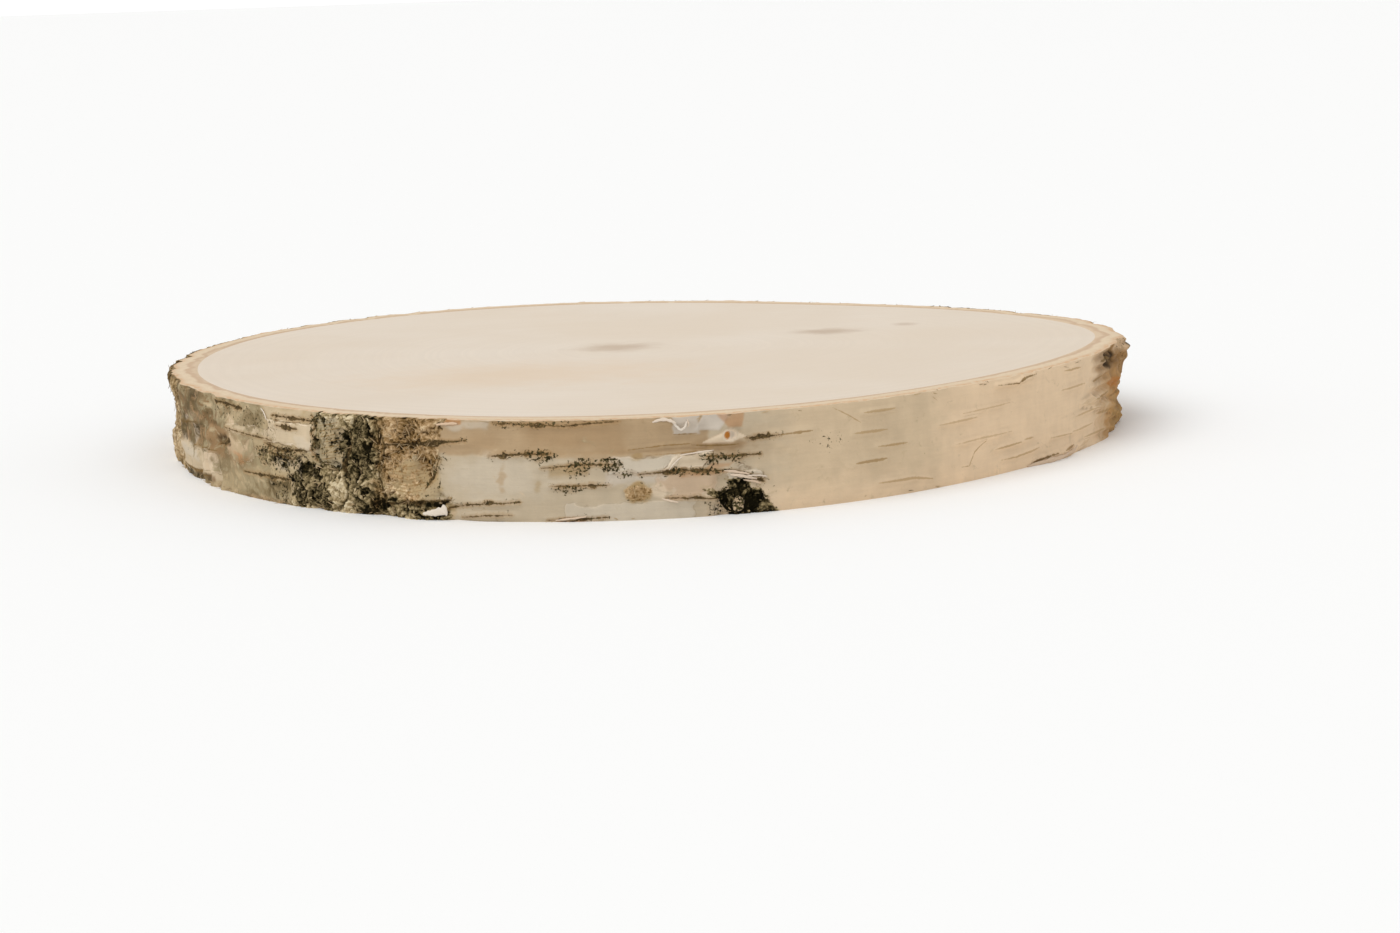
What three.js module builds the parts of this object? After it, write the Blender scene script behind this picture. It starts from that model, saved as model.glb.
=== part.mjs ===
// Birch wood slice: a disc sawn across a birch trunk, with its bark still on.
// Millimetres, +Z up. The origin is the middle of the underside, on the axis the trunk grew round,
// and the side that shows best faces -Y. The slice grew as one piece, so it is one closed solid:
// two flat sawn faces and, between them, a bark wall raised and sunk by the formulas below.
import * as THREE from "three";

// Driving dimensions
const MEAN_RADIUS = 140;
const THICKNESS = 26;
const COLUMNS = 288;
const ROWS = 17;
const SEED = 2026;

// Angles are degrees round +Z from +X, so -90 is the front and 180 the left end.
// The trunk was not quite round: each swell lifts the outline by `rise` over about `spread` degrees.
const SWELLS = [
  { name: "left end flat", at: -172, rise: -1.3, spread: 24 },
  { name: "left front flat", at: -157, rise: -6, spread: 33 },
  { name: "front belly", at: -90, rise: 4.5, spread: 30 },
  { name: "right front flat", at: -45, rise: -4, spread: 24 },
  { name: "right end shoulder", at: 4, rise: 5.4, spread: 20 },
  { name: "right back flat", at: 60, rise: -9.5, spread: 25 },
  { name: "left back shoulder", at: 122, rise: 8.5, spread: 32 },
];

// Fissured crust: rough bark, split by upright cracks into plates that stand `rise` proud.
// Each patch runs between two angles and two heights, with soft edges.
const CRUST_PATCHES = [
  { name: "left end", from: 160, to: 213, low: 0, high: 26, rise: 2 },
  { name: "left foot", from: -137, to: -126, low: 0, high: 14, rise: 1.2 },
  { name: "left front column", from: -127, to: -111, low: 0, high: 26, rise: 2.2 },
  { name: "left front toe", from: -113, to: -107, low: 0, high: 5, rise: 1 },
  { name: "front wedge", from: -82, to: -75, low: 0, high: 10, rise: 1.8 },
  { name: "right end", from: -13, to: 12, low: 0, high: 26, rise: 1.1 },
  { name: "right back column", from: 24, to: 41, low: 0, high: 26, rise: 1.9 },
  { name: "back wedge", from: 78, to: 92, low: 8, high: 26, rise: 1.6 },
  { name: "left back column", from: 118, to: 146, low: 0, high: 26, rise: 2.1 },
];
const CRUST_EDGE = 3;
const PLATE = { width: 8, height: 11, share: 0.7, shift: 61 };
const GRAIN = { width: 4, height: 2.8, share: 0.5, shift: 127 };
const CRACK = { width: 8, height: 26, share: 1.1, sharpness: 4 };
const CRUST_MEAN = 0.3;

// Lenticels: the breathing slits of birch bark, short level ridges. The front ones are set where they
// show (angle, height, length); the rest are drawn at random over the smooth bark of the back.
const FRONT_LENTICELS = [
  [-132, 23.6, 14], [-132, 21.2, 9], [-112, 20, 22], [-102, 17.3, 16], [-96, 14.3, 18],
  [-95.5, 9.2, 14], [-106, 4.4, 18], [-105.5, 1.6, 13], [-97, 25, 20], [-83, 12, 16],
  [-82, 15.2, 13], [-84, 4.9, 12], [-75, 19.6, 16], [-63, 23, 10], [-64, 17.8, 10],
  [-61.5, 13.5, 9], [-64, 10, 10], [-60.5, 3.9, 14], [-51, 16.8, 12], [-47, 18.8, 18],
  [-48, 10.9, 19], [-42, 7.5, 13], [-40, 4.2, 15], [-41, 24.4, 15], [-27, 23.8, 9],
  [-26, 18.8, 12], [-19, 13.2, 11], [-24, 6.2, 14], [-20, 9.6, 12],
];
const BACK_LENTICELS = 64;
const BACK_LENTICEL_SPAN = { from: 14, to: 158 };
const LENTICEL_LENGTH = { least: 7, most: 19 };
const LENTICEL_RISE = 0.55;
const LENTICEL_HALF_HEIGHT = 0.9;
const LENTICEL_TAPER = 1.5;

// Knobs and torn places, each a rounded bump of the bark wall.
const KNOBS = [
  { name: "burl at the right end", at: -2, height: 22, rise: 3, wide: 9, tall: 5.5 },
  { name: "burl's lower lobe", at: -7, height: 15.5, rise: 1.2, wide: 6, tall: 3 },
  { name: "left end brow", at: 184, height: 24.5, rise: 2, wide: 30, tall: 5 },
  { name: "left end foot", at: 188, height: 8, rise: 1.6, wide: 18, tall: 3.5 },
  { name: "lifted flap, lower right", at: -31, height: 1, rise: 2, wide: 8, tall: 1.8 },
  { name: "lifted curl, upper front", at: -86, height: 25, rise: 1.4, wide: 5, tall: 1.6 },
  { name: "torn lip, upper right", at: -41, height: 24.6, rise: 0.9, wide: 9, tall: 1.3 },
  { name: "nub on the back", at: 75, height: 24.5, rise: 1.8, wide: 4, tall: 2.4 },
  { name: "step on the back", at: 40, height: 21, rise: 1.3, wide: 6, tall: 6 },
];

// Branch eye: the healed stub of a twig, a raised ring round a dimple.
const BRANCH_EYE = { at: -80.3, height: 20.8, ring: 2.4, rise: 1.1, roll: 1.3, dimple: 1.3, pit: 1.2 };

// Wrinkles: level creases where the smooth bark bunches up against the burl.
const WRINKLES = { from: -27, to: 16, fade: 9, pitch: 3.6, rise: 0.55, drift: 5, width: 22, height: 40 };

// Ripple: the faint unevenness of bark that is otherwise smooth.
const RIPPLE = { width: 26, height: 30, rise: 0.7 };

const WOOD_COLOUR = 0xe0d2bf;

// More noise cells than any row of them has round the slice, so that no two share a number.
const CELLS_A_ROW = 1000;

const { degToRad: radians, smoothstep, lerp, euclideanModulo, seededRandom } = THREE.MathUtils;

// Signed difference of two angles, in degrees, from -180 to 180.
function turn(degrees, from) {
  return euclideanModulo(degrees - from + 180, 360) - 180;
}

// Distance along the bark, in millimetres, from one angle to another.
function alongBark(degrees, from) {
  return radians(turn(degrees, from)) * MEAN_RADIUS;
}

function bell(distance, spread) {
  return Math.exp(-((distance / spread) ** 2));
}

// A repeatable number from 0 to 1 for each cell of a grid of noise.
function cellNumber(column, row) {
  return seededRandom(SEED + column + row * CELLS_A_ROW);
}

// Smooth noise round the slice: cells `width` by `height` mm that close up after a whole turn.
function barkNoise(degrees, z, { width, height }) {
  const around = Math.round((2 * Math.PI * MEAN_RADIUS) / width);
  const u = (euclideanModulo(degrees, 360) / 360) * around;
  const v = z / height;
  const column = Math.floor(u);
  const row = Math.floor(v);
  const across = smoothstep(u - column, 0, 1);
  const up = smoothstep(v - row, 0, 1);
  const corner = (i, j) => cellNumber((column + i) % around, row + j);
  const below = lerp(corner(0, 0), corner(1, 0), across);
  const above = lerp(corner(0, 1), corner(1, 1), across);
  return lerp(below, above, up);
}

function swell(degrees) {
  return SWELLS.reduce((sum, s) => sum + s.rise * bell(turn(degrees, s.at), s.spread), 0);
}

// How far inside a crust patch a spot lies, from 0 outside to 1 well within.
function insidePatch(patch, degrees, z) {
  const middle = (patch.from + patch.to) / 2;
  const halfWidth = (radians(patch.to - patch.from) * MEAN_RADIUS) / 2;
  const sideways = halfWidth - Math.abs(alongBark(degrees, middle));
  const below = patch.low > 0 ? z - patch.low : Infinity;
  const above = patch.high < THICKNESS ? patch.high - z : Infinity;
  const inward = Math.min(sideways, below, above);
  return smoothstep(inward, -CRUST_EDGE / 2, CRUST_EDGE / 2);
}

// Plates stand proud and the cracks between them run up the trunk, with a finer grain over both.
function crust(degrees, z) {
  const cover = CRUST_PATCHES.reduce((most, p) => Math.max(most, p.rise * insidePatch(p, degrees, z)), 0);
  if (cover === 0) return 0;
  const plate = PLATE.share * barkNoise(degrees + PLATE.shift, z, PLATE);
  const grain = GRAIN.share * barkNoise(degrees + GRAIN.shift, z, GRAIN);
  const nearCrack = 1 - Math.abs(2 * barkNoise(degrees, z, CRACK) - 1);
  const crack = CRACK.share * nearCrack ** CRACK.sharpness;
  return cover * (plate + grain - crack - CRUST_MEAN);
}

function ridge(degrees, z, [at, height, length]) {
  const beyond = Math.max(0, Math.abs(alongBark(degrees, at)) - length / 2);
  return LENTICEL_RISE * bell(beyond, LENTICEL_TAPER) * bell(z - height, LENTICEL_HALF_HEIGHT);
}

function backLenticels() {
  const { from, to } = BACK_LENTICEL_SPAN;
  const { least, most } = LENTICEL_LENGTH;
  seededRandom(SEED);
  return Array.from({ length: BACK_LENTICELS }, () => [
    lerp(from, to, seededRandom()),
    lerp(0, THICKNESS, seededRandom()),
    lerp(least, most, seededRandom()),
  ]);
}

function knobs(degrees, z) {
  return KNOBS.reduce(
    (sum, k) => sum + k.rise * bell(alongBark(degrees, k.at), k.wide) * bell(z - k.height, k.tall),
    0,
  );
}

function branchEye(degrees, z) {
  const away = Math.hypot(alongBark(degrees, BRANCH_EYE.at), z - BRANCH_EYE.height);
  const ring = BRANCH_EYE.rise * bell(away - BRANCH_EYE.ring, BRANCH_EYE.roll);
  return ring - BRANCH_EYE.dimple * bell(away, BRANCH_EYE.pit);
}

function wrinkles(degrees, z) {
  const middle = (WRINKLES.from + WRINKLES.to) / 2;
  const halfSpan = (WRINKLES.to - WRINKLES.from) / 2;
  const within = smoothstep(halfSpan - Math.abs(turn(degrees, middle)), 0, WRINKLES.fade);
  const drift = WRINKLES.drift * barkNoise(degrees, z, WRINKLES);
  return WRINKLES.rise * within * Math.sin((2 * Math.PI * (z + drift)) / WRINKLES.pitch);
}

// The bark wall's distance from the axis at one angle and height.
function barkRadius(degrees, z, lenticels) {
  const ridges = lenticels.reduce((most, l) => Math.max(most, ridge(degrees, z, l)), 0);
  const ripple = RIPPLE.rise * (barkNoise(degrees, z, RIPPLE) - 0.5);
  return (
    MEAN_RADIUS +
    swell(degrees) +
    ripple +
    crust(degrees, z) +
    ridges +
    knobs(degrees, z) +
    branchEye(degrees, z) +
    wrinkles(degrees, z)
  );
}

// A drum of COLUMNS by ROWS faces, whose wall is moved out or in to the bark radius.
function sliceGeometry() {
  const lenticels = [...FRONT_LENTICELS, ...backLenticels()];
  const drum = new THREE.CylinderGeometry(MEAN_RADIUS, MEAN_RADIUS, THICKNESS, COLUMNS, ROWS);
  drum.rotateX(Math.PI / 2);
  drum.translate(0, 0, THICKNESS / 2);
  const position = drum.getAttribute("position");
  for (let i = 0; i < position.count; i += 1) {
    const x = position.getX(i);
    const y = position.getY(i);
    const onAxis = Math.hypot(x, y) < MEAN_RADIUS / 2;
    if (onAxis) continue;
    const angle = Math.atan2(y, x);
    const radius = barkRadius(THREE.MathUtils.radToDeg(angle), position.getZ(i), lenticels);
    position.setXY(i, radius * Math.cos(angle), radius * Math.sin(angle));
  }
  drum.computeVertexNormals();
  return drum;
}

const slice = new THREE.Mesh(
  sliceGeometry(),
  new THREE.MeshStandardMaterial({ color: WOOD_COLOUR, roughness: 0.75, metalness: 0 }),
);
slice.name = "birch_slice";

const birchWoodSlice = new THREE.Group();
birchWoodSlice.name = "birch_wood_slice";
birchWoodSlice.add(slice);

export default birchWoodSlice;
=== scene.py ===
"""Looks of a birch wood slice: a disc sawn across a trunk, with its bark still on.

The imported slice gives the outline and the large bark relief. This script carries that wall to a fine
grid, adds the small relief of birch bark, and dresses wood, bark, loose paper and torn fibres in
procedural finishes. Angles are degrees round +Z from +X, so -90 is the front and 180 the left end.
Lengths are millimetres unless a name says metres.
"""

import logging
import math
from abc import ABC, abstractmethod
from dataclasses import dataclass, replace
from enum import Enum
from typing import Callable, ClassVar

import bpy
import numpy as np
from mathutils import Matrix, Vector


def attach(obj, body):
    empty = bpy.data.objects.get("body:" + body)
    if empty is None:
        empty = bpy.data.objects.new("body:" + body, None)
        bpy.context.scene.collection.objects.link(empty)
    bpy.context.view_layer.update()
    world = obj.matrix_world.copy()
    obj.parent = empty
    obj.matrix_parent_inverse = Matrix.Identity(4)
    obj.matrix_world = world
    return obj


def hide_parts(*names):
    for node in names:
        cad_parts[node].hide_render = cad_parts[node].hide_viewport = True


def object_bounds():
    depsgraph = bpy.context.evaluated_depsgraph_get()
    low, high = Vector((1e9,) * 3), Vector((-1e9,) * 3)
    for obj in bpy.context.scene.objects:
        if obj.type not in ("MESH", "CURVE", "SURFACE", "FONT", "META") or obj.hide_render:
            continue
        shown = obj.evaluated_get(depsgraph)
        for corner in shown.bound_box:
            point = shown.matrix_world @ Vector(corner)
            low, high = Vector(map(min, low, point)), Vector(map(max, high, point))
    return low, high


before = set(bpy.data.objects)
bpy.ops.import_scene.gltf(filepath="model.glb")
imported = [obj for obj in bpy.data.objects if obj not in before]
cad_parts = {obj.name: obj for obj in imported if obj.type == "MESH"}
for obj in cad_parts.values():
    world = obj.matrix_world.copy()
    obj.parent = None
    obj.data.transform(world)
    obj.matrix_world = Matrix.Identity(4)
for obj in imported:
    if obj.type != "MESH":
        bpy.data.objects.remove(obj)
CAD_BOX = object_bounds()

LOG = logging.getLogger("birch_slice")
MM = 0.001
THICKNESS = round(CAD_BOX[1].z / MM, 2)
NODE = "birch_slice"
BODY = "root"
BAKE_MAP = "OFBake"
# Millimetres from a mark at which nothing of it shows any more.
FAR = 9.0

Array = np.ndarray
Pair = tuple[float, float]
Place = tuple[Array, Array]
Piece = bpy.types.Object
Material = bpy.types.Material
Tree = bpy.types.NodeTree
Socket = bpy.types.NodeSocket
Value = Socket | float | tuple | str
Inputs = dict[int | str, Value]
Stops = tuple[tuple[float, str], ...]


class Outline(Enum):
    """The shape of a patch before its edge wanders."""

    BLOCK = "block"
    BLOB = "blob"


class Laid(Enum):
    """What a patch lays on the bark. A call makes a block-shaped patch of it."""

    def __call__(self, *sizes: float, **more: float) -> "Patch":
        """A patch of it, by its start, end, low, high, strength, soft and ragged."""
        return Patch(self, *sizes, **more)

    def blob(self, *sizes: float, **more: float) -> "Patch":
        """The same with a rounded outline."""
        return Patch(self, *sizes, **more, outline=Outline.BLOB)


class Layer(Laid):
    """What grows on the bark, each stored as an attribute of the mesh from 0, none, to 1."""

    LICHEN = "lichen"
    CRUST = "crust"
    BROWN = "brown"
    MOSS = "moss"


class Trait(Enum):
    """Other attributes of the bark mesh."""

    PAINT = "paint"
    SLIT_OFFSET = "slit_offset"
    SLIT_HALF = "slit_half"
    SLIT_TONE = "slit_tone"
    TEAR = "tear"
    TORN = "torn"
    SHADE = "shade"
    CAVITY = "cavity"
    DEPTH = "depth"


class Tone(Laid):
    """Colours of the paper bark, as display codes."""

    COOL = "BAAA91"
    WARM = "CEB899"
    PEACH = "E6CBAA"
    HONEY = "B4874F"
    SAND = "B39F7D"
    PAPER = "C8B598"
    TAN = "AC916F"
    DUSK = "A1835F"
    LILAC = "C3B8AA"
    WHITE = "C9BEAC"
    CREAM = "DFCBB0"
    IVORY = "EBDAC3"
    ROSE = "C2A68A"
    OCHRE = "A28454"
    UMBER = "74583A"
    SOOT = "2E2112"
    RUST = "AE7742"
    ORANGE = "C6823F"
    OLIVE = "9C9070"

    def linear(self) -> Array:
        """The colour as the shader takes it."""
        return np.array(colour(self.value)[:3])


LICHEN, CRUST, BROWN, MOSS = Layer
COOL, WARM, PEACH, HONEY, SAND, PAPER, TAN, DUSK, LILAC, WHITE, *_ = Tone
*_, CREAM, IVORY, ROSE, OCHRE, UMBER, SOOT, RUST, ORANGE, OLIVE = Tone


@dataclass(frozen=True)
class Patch:
    """A stretch of bark, between two angles and two heights, that one layer covers or one tone paints.

    `soft` is the width of its edge, `ragged` how far the edge wanders and `lift` how far it stands
    proud. `lean` shears it, in degrees for each millimetre of height, and `taper` widens it upwards.
    `torn` is how strongly its border shows as a torn edge, with a painted highlight inside it and a painted
    shadow outside. A strength below 0 thins a layer.
    """

    what: Laid
    start: float
    end: float
    low: float
    high: float
    strength: float = 1.0
    soft: float = 1.0
    ragged: float = 1.5
    lift: float = 0.0
    lean: float = 0.0
    taper: float = 0.0
    torn: float = 0.0
    outline: Outline = Outline.BLOCK
    widest_echo: ClassVar[float] = 30.0

    @property
    def anchor(self) -> float:
        """The angle of its middle."""
        return (self.start + self.end) / 2

    @property
    def echoes(self) -> bool:
        """Whether the back may repeat it, as it may all but the widest."""
        return self.end - self.start < self.widest_echo


@dataclass(frozen=True)
class Line:
    """A mark along some points, each an angle, a height and perhaps how far it stands off the bark."""

    points: tuple[tuple[float, ...], ...]
    echoes: ClassVar[bool] = True

    @property
    def anchor(self) -> float:
        """The angle where it starts."""
        return self.points[0][0]


@dataclass(frozen=True)
class Slit(Line):
    """A thin line: a lenticel, a crack or a fold.

    `tone` runs from 0, ochre, to 1, black-brown, and `lip` is how far its edges stand proud.
    """

    thick: float
    tone: float = 1.0
    lip: float = 0.25


@dataclass(frozen=True)
class Shred(Line):
    """A shred of paper. `flare` runs from 0, widest at its middle, to 1, widest at its end."""

    width: float
    tone: float
    flare: float = 0.0
    thick: float = 0.18


@dataclass(frozen=True)
class Echo:
    """A stretch of the front that the unseen back repeats, mirrored or upside down."""

    start: float
    end: float
    to_start: float
    to_end: float
    upside_down: bool = False

    def takes(self, mark: Patch | Line) -> bool:
        """Whether a mark of the front is repeated."""
        return mark.echoes and self.start <= mark.anchor <= self.end

    def angle(self, degrees: float) -> float:
        """Where an angle of the front comes to lie."""
        turned = (degrees - self.start) * (self.to_end - self.to_start)
        return self.to_start + turned / (self.end - self.start)

    def height(self, height: float) -> float:
        """Where a height of the front comes to lie."""
        return THICKNESS - height if self.upside_down else height

    def moved(self, mark: Patch | Line) -> Patch | Line:
        """A mark as the back has it.

        Args:
            mark: A patch, slit or shred of the front.

        Returns:
            The moved mark.
        """
        if isinstance(mark, Line):
            points = tuple((self.angle(a), self.height(h), *off) for a, h, *off in mark.points)
            return replace(mark, points=points)
        start, end = sorted((self.angle(mark.start), self.angle(mark.end)))
        low, high = sorted((self.height(mark.low), self.height(mark.high)))
        flip = -1 if self.upside_down else 1
        lean = math.copysign(1, self.to_end - self.to_start) * flip * mark.lean
        return replace(mark, start=start, end=end, low=low, high=high, lean=lean, taper=flip * mark.taper)


# Heights of a patch that goes right up the bark and past both its edges.
FULL = (-12.0, 38.0)

# Each row: angles from and to, heights from and to, strength, soft and ragged.
PATCHES = (
    # The lie of the paper's colour: sandy at the left, cool at the front, warm to the right, and painted
    # light along the foot of the front.
    SAND(-210, -126, *FULL, 1, 6, 5),
    WARM(-76, 20, *FULL, 1, 10, 6),
    PEACH(-54, -16, *FULL, 0.8, 12, 6),
    # Painted light: the foot of the front is lightened, to offset the shade that falls there near the floor.
    PEACH(-82, -18, -9, 6, 0.6, 5, 4),
    HONEY(-17, 18, *FULL, 0.85, 14, 8),
    # Brown and grey streaks of the left, with a pale band low down.
    DUSK(-190, -149, 10, 38, 0.7, 3, 5),
    UMBER(-190, -156, 15, 38, 0.6, 3, 5),
    ROSE(-161, -152.6, 13.6, 19.4, 0.6, 1.2, 2.4),
    DUSK(-157, -144.6, 9.6, 23, 0.9, 1.6, 4),
    PAPER(-190, -149, 2.2, 9.6, 0.95, 0.9, 1.6, lift=0.25),
    CREAM(-153.6, -148.8, 3.6, 9.8, 0.55, 0.6, 1.4, lift=0.2, torn=0.4),
    WHITE(-162, -157, 5.4, 8.8, 0.6, 0.8, 1.6),
    UMBER(-158.4, -150, 1.2, 2.8, 0.7, 0.6, 1),
    WHITE.blob(-162.6, -156.6, 9.4, 17.6, 0.5, 0.6, 1.2),
    DUSK.blob(-161.6, -157.6, 10.6, 16.6, 0.9, 0.7, 1.2),
    UMBER.blob(-160.6, -158.6, 11.4, 13.6, 0.8, 0.6),
    WHITE.blob(-167.6, -164.4, 10.2, 14.8, 0.5, 0.5, 1),
    # Papery panel and blotches of the left.
    PAPER(-135.4, -127, 16.2, 22.8, 1, 0.5, 1.2, lift=0.4, torn=0.7),
    WHITE(-130, -127.2, 15.4, 18.6, 0.35, 0.8, 1.8, lift=0.2),
    PAPER(-146, -134, 17.2, 19.6, 0.75, 1, 1.4, lift=0.15, torn=0.35),
    PAPER(-136, -129, 22.6, 26.5, 0.6, 1.2),
    UMBER.blob(-153, -138, 7, 18.6, 0.4, 2.4, 5),
    PEACH.blob(-145.4, -139, 9.8, 15.6, 0.4, 1.2, 3, torn=0.3),
    WHITE.blob(-135, -129.5, 9.4, 13.4, 0.45, 1.2, 2),
    SOOT.blob(-148, -145, 12.2, 15.6, 0.75, 0.7, 1.6, lift=-0.4, lean=0.2),
    UMBER.blob(-153, -146.4, 17, 25.4, 0.65, 1.6, 3.5),
    UMBER(-153.6, -151.4, 20.5, 25.6, 0.5, 0.8),
    RUST.blob(-143.4, -140.6, 8.8, 11.4, 0.6, 0.7),
    OLIVE.blob(-139.4, -135.6, 9, 13.4, 0.6, 1, 2),
    TAN(-141.6, -131, -3, 1.1, 0.8, 0.4, 0.6),
    UMBER.blob(-205, -188, 8, 22, 0.4, 2, 5),
    # The smooth scale of old bark at the crust's left.
    OLIVE(-127.2, -122.6, 11.6, 25.6, 0.45, 1.2, 2.6, lift=0.3),
    SAND(-124.8, -122.8, 13.4, 23.6, 0.8, 0.5, 1.6, lift=0.3, lean=0.06),
    SAND(-117.6, -110.6, 4.6, 17, 0.9, 1, 2),
    # Tan underbark at the front, where the white paper has come away.
    TAN(-111, -82.5, 17, 38, 0.85, 0.6, 0.8, lift=-0.2),
    TAN(-99.5, -83, 15.9, 18, 0.7, 0.5, 0.8),
    DUSK(-101, -91, 18.4, 38, 0.45, 2.6, 3),
    DUSK(-107, -104, 19, 24, 0.25, 2, 3),
    WHITE(-110.4, -105, 23.8, 25.8, 0.5, 0.6, lift=0.15),
    TAN.blob(-81.6, -75, 14, 22, 0.25, 2.4, 3),
    # Partly brownish bark and partly painted shadow: the dusk under the fold that leads to the branch eye.
    DUSK.blob(-84.6, -78, 16.4, 19.6, 0.8, 0.7, 0.8, lift=-0.25),
    # White film over it.
    WHITE.blob(-109, -99, 5.5, 16.8, 0.4, 2.4, 3),
    WHITE(-92.4, -85.6, 12.4, 16.2, 0.75, 0.5, lift=0.15, torn=0.3),
    LILAC(-93, -87, 9.6, 12.4, 0.6, 0.8, 1.6),
    CREAM(-86.2, -82.6, 12.8, 16.6, 0.35, 0.4, 1.2, lift=0.35, lean=0.3, torn=0.7),
    WHITE(-97, -84, -3, 4.6, 0.55, 0.6, 1.6, lift=0.15, torn=0.25),
    ROSE.blob(-87.6, -81.6, 5.4, 11.6, 0.65, 0.6, 2.4, torn=0.15),
    LILAC(-86, -83.4, 21.6, 26.5, 0.85, 0.3, 0.8, lift=0.15),
    LILAC(-83.4, -80.8, 22.2, 26.5, 0.9, 0.3, 0.6, lift=0.2, lean=0.3),
    WHITE(-80.8, -76.8, 8.2, 11.8, 0.75, 0.4, 1.8, lift=0.3, lean=-0.4, torn=0.5),
    # Ochre blotch, upright stains and torn edges.
    OCHRE.blob(-91.2, -88.3, 4.2, 9.2, 0.8, 0.4, 1.2, lift=0.3),
    UMBER.blob(-90.2, -89, 5.4, 7.8, 0.35, 0.6),
    CREAM.blob(-88.5, -86.8, 4.8, 9.4, 0.55, 0.4, 1),
    OCHRE.blob(-90.2, -89.2, 15.2, 17, 0.5, 0.5),
    TAN.blob(-104.1, -103.1, 7.6, 14.8, 0.6, 0.4, 1.4, lean=0.05),
    OCHRE.blob(-100.3, -99.5, 7.6, 10.4, 0.4, 0.4, lean=0.12),
    OCHRE(-98.6, -94.6, 11.8, 14.6, 0.5, 0.8, 1.6),
    RUST(-82.6, -80.2, 12.2, 13.6, 0.45, 0.4, 0.8, lean=0.5),
    RUST(-85.4, -80.6, 10.8, 11.8, 0.45, 0.5, 0.8),
    RUST(-112.6, -107.8, 24.8, 27, 0.7, 0.4),
    RUST(-98.2, -93.6, -1, 0.8, 0.6, 0.4),
    # Orange bark above the branch eye.
    RUST(-81.2, -78.8, 22.6, 27, 0.55, 0.4, 0.5, lean=-0.1, taper=0.4),
    # Chips and wrinkles of the right end.
    UMBER(-20, -4, 18, 38, 0.45, 6, 7),
    UMBER(-14, -4, 16.6, 22.4, 0.35, 1.4, 3, lean=-0.4),
    PEACH(-11, 8, 23.6, 38, 0.6, 1.2, 2),
    SOOT.blob(-16.6, -11.4, 20.4, 24.8, 0.9, 1, 1.8, lift=-0.7, lean=-0.4),
    SOOT.blob(-3.4, 0.4, 22.4, 25.4, 0.8, 0.7, 1.4),
    SOOT.blob(-8.6, -7, 24.6, 25.8, 0.6, 0.5, 0.8),
    SOOT.blob(3, 8.4, 14.8, 18.4, 0.9, 0.8, 1.6, lift=-0.4, lean=-0.4),
    SOOT.blob(-0.6, 2.6, 18.6, 21.4, 0.7, 0.7, 1.4),
    RUST(-14, -8.4, 13.2, 16.2, 0.95, 0.4, 0.8, lift=0.3, lean=-1),
    RUST(-9.5, 7, 9.6, 12.6, 0.7, 0.6, 1.2, lean=-1.2),
    UMBER.blob(-4, 9, 13, 22, 0.4, 1.6, 3),
    OCHRE(-12, 8, -2, 9.4, 0.5, 7, 7),
    UMBER(-9, 2, 5, 7, 0.4, 0.8, 1.6, lean=-0.8),
    # Lichen in blotches.
    LICHEN(-210, -150, *FULL, 0.6, 4, 8),
    LICHEN(-190, -149, 2, 9.4, -0.8, 1, 2),
    LICHEN(-152, -136, 18.4, 38, 0.75, 2, 4),
    LICHEN(-150, -134, -9, 17, 0.5, 2.4, 5),
    LICHEN(-141.6, -131.6, 0.8, 6.8, 0.9, 0.8),
    LICHEN(-118, -109, -9, 4.8, 0.8, 1),
    # Granular crust.
    CRUST(-212, -164, *FULL, 0.6, 4, 9),
    CRUST(-127.2, -114, 3.4, 38, 1, 0.8, 2),
    CRUST(-118, -110.2, 3.4, 38, 1, 0.7, 2, lean=0.15),
    CRUST(-129, -109.6, -12, 5.2, 1, 1.4, 2.4),
    CRUST.blob(-131.6, -125, -6, 13.4, 0.75, 2.2, 4),
    CRUST.blob(-137, -129, 9.4, 15.4, 0.62, 1.2, 3, lean=-0.3),
    CRUST.blob(-134.6, -128, -6, 10, 0.42, 2, 4),
    CRUST(-126.8, -122.9, 12.6, 25.2, -0.55, 1, 2.8),
    CRUST.blob(-112.6, -109.8, 5.6, 9.6, -0.8, 0.6, 1.2),
    CRUST.blob(-116.6, -111.8, 5.4, 15.4, -0.55, 1.4, 3),
    CRUST.blob(-91.2, -88.3, 4.3, 9.1, 0.6, 0.8, 1.2),
    CRUST(-80.8, -78.2, 3, 9.2, 1, 0.5, 1.8, lean=0.06),
    CRUST(-80.6, -75.4, -6, 6.4, 1, 0.5, 1.8, lean=-0.3),
    CRUST(-82.2, -80, -6, 4.6, 0.45, 0.7, 1.6),
    CRUST(-80.4, -77, 5.6, 10.4, 0.3, 0.8, 1.6, lean=-0.3),
    CRUST.blob(-80.1, -79.1, 0.8, 4.8, -0.9, 0.4, 0.8),
    CRUST(-8, 13, 15, 38, 0.3, 3, 6),
    BROWN(-117.8, -109, 4.6, 38, 1, 3, 6),
    BROWN.blob(-92.4, -87.2, 3, 10.4, 1, 0.8),
    BROWN(-200, -151, *FULL, 0.6, 6, 9),
    BROWN(-22, 30, *FULL, 0.9, 5, 6),
    # Moss: dark between the grains of the crust, and in specks on the paper.
    MOSS(-127, -110, *FULL, 0.2, 1.5, 2),
    MOSS.blob(-123.4, -119, 8, 23.4, 0.6, 1.4, 3.4, lean=-0.12),
    MOSS(-119.2, -116.6, -6, 27, 0.45, 0.9, 2.4),
    MOSS.blob(-119.6, -116.4, 1, 5.4, 0.95, 0.8, 1.2),
    MOSS(-131.4, -126, 0, 13.2, 0.34, 1.6, 3.4),
    MOSS.blob(-136, -130, 1, 13, 0.42, 2, 3),
    MOSS(-138, -129.4, 9.6, 15.8, 0.78, 1, 2, lean=-0.3),
    MOSS(-127.8, -126.8, 13, 25.4, 0.75, 0.4, 1.2),
    MOSS(-117.4, -109.6, 3.2, 5.4, 0.8, 0.5, 0.8, lean=0.6),
    MOSS(-117.4, -110, -6, 3.6, 0.5, 1),
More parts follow.
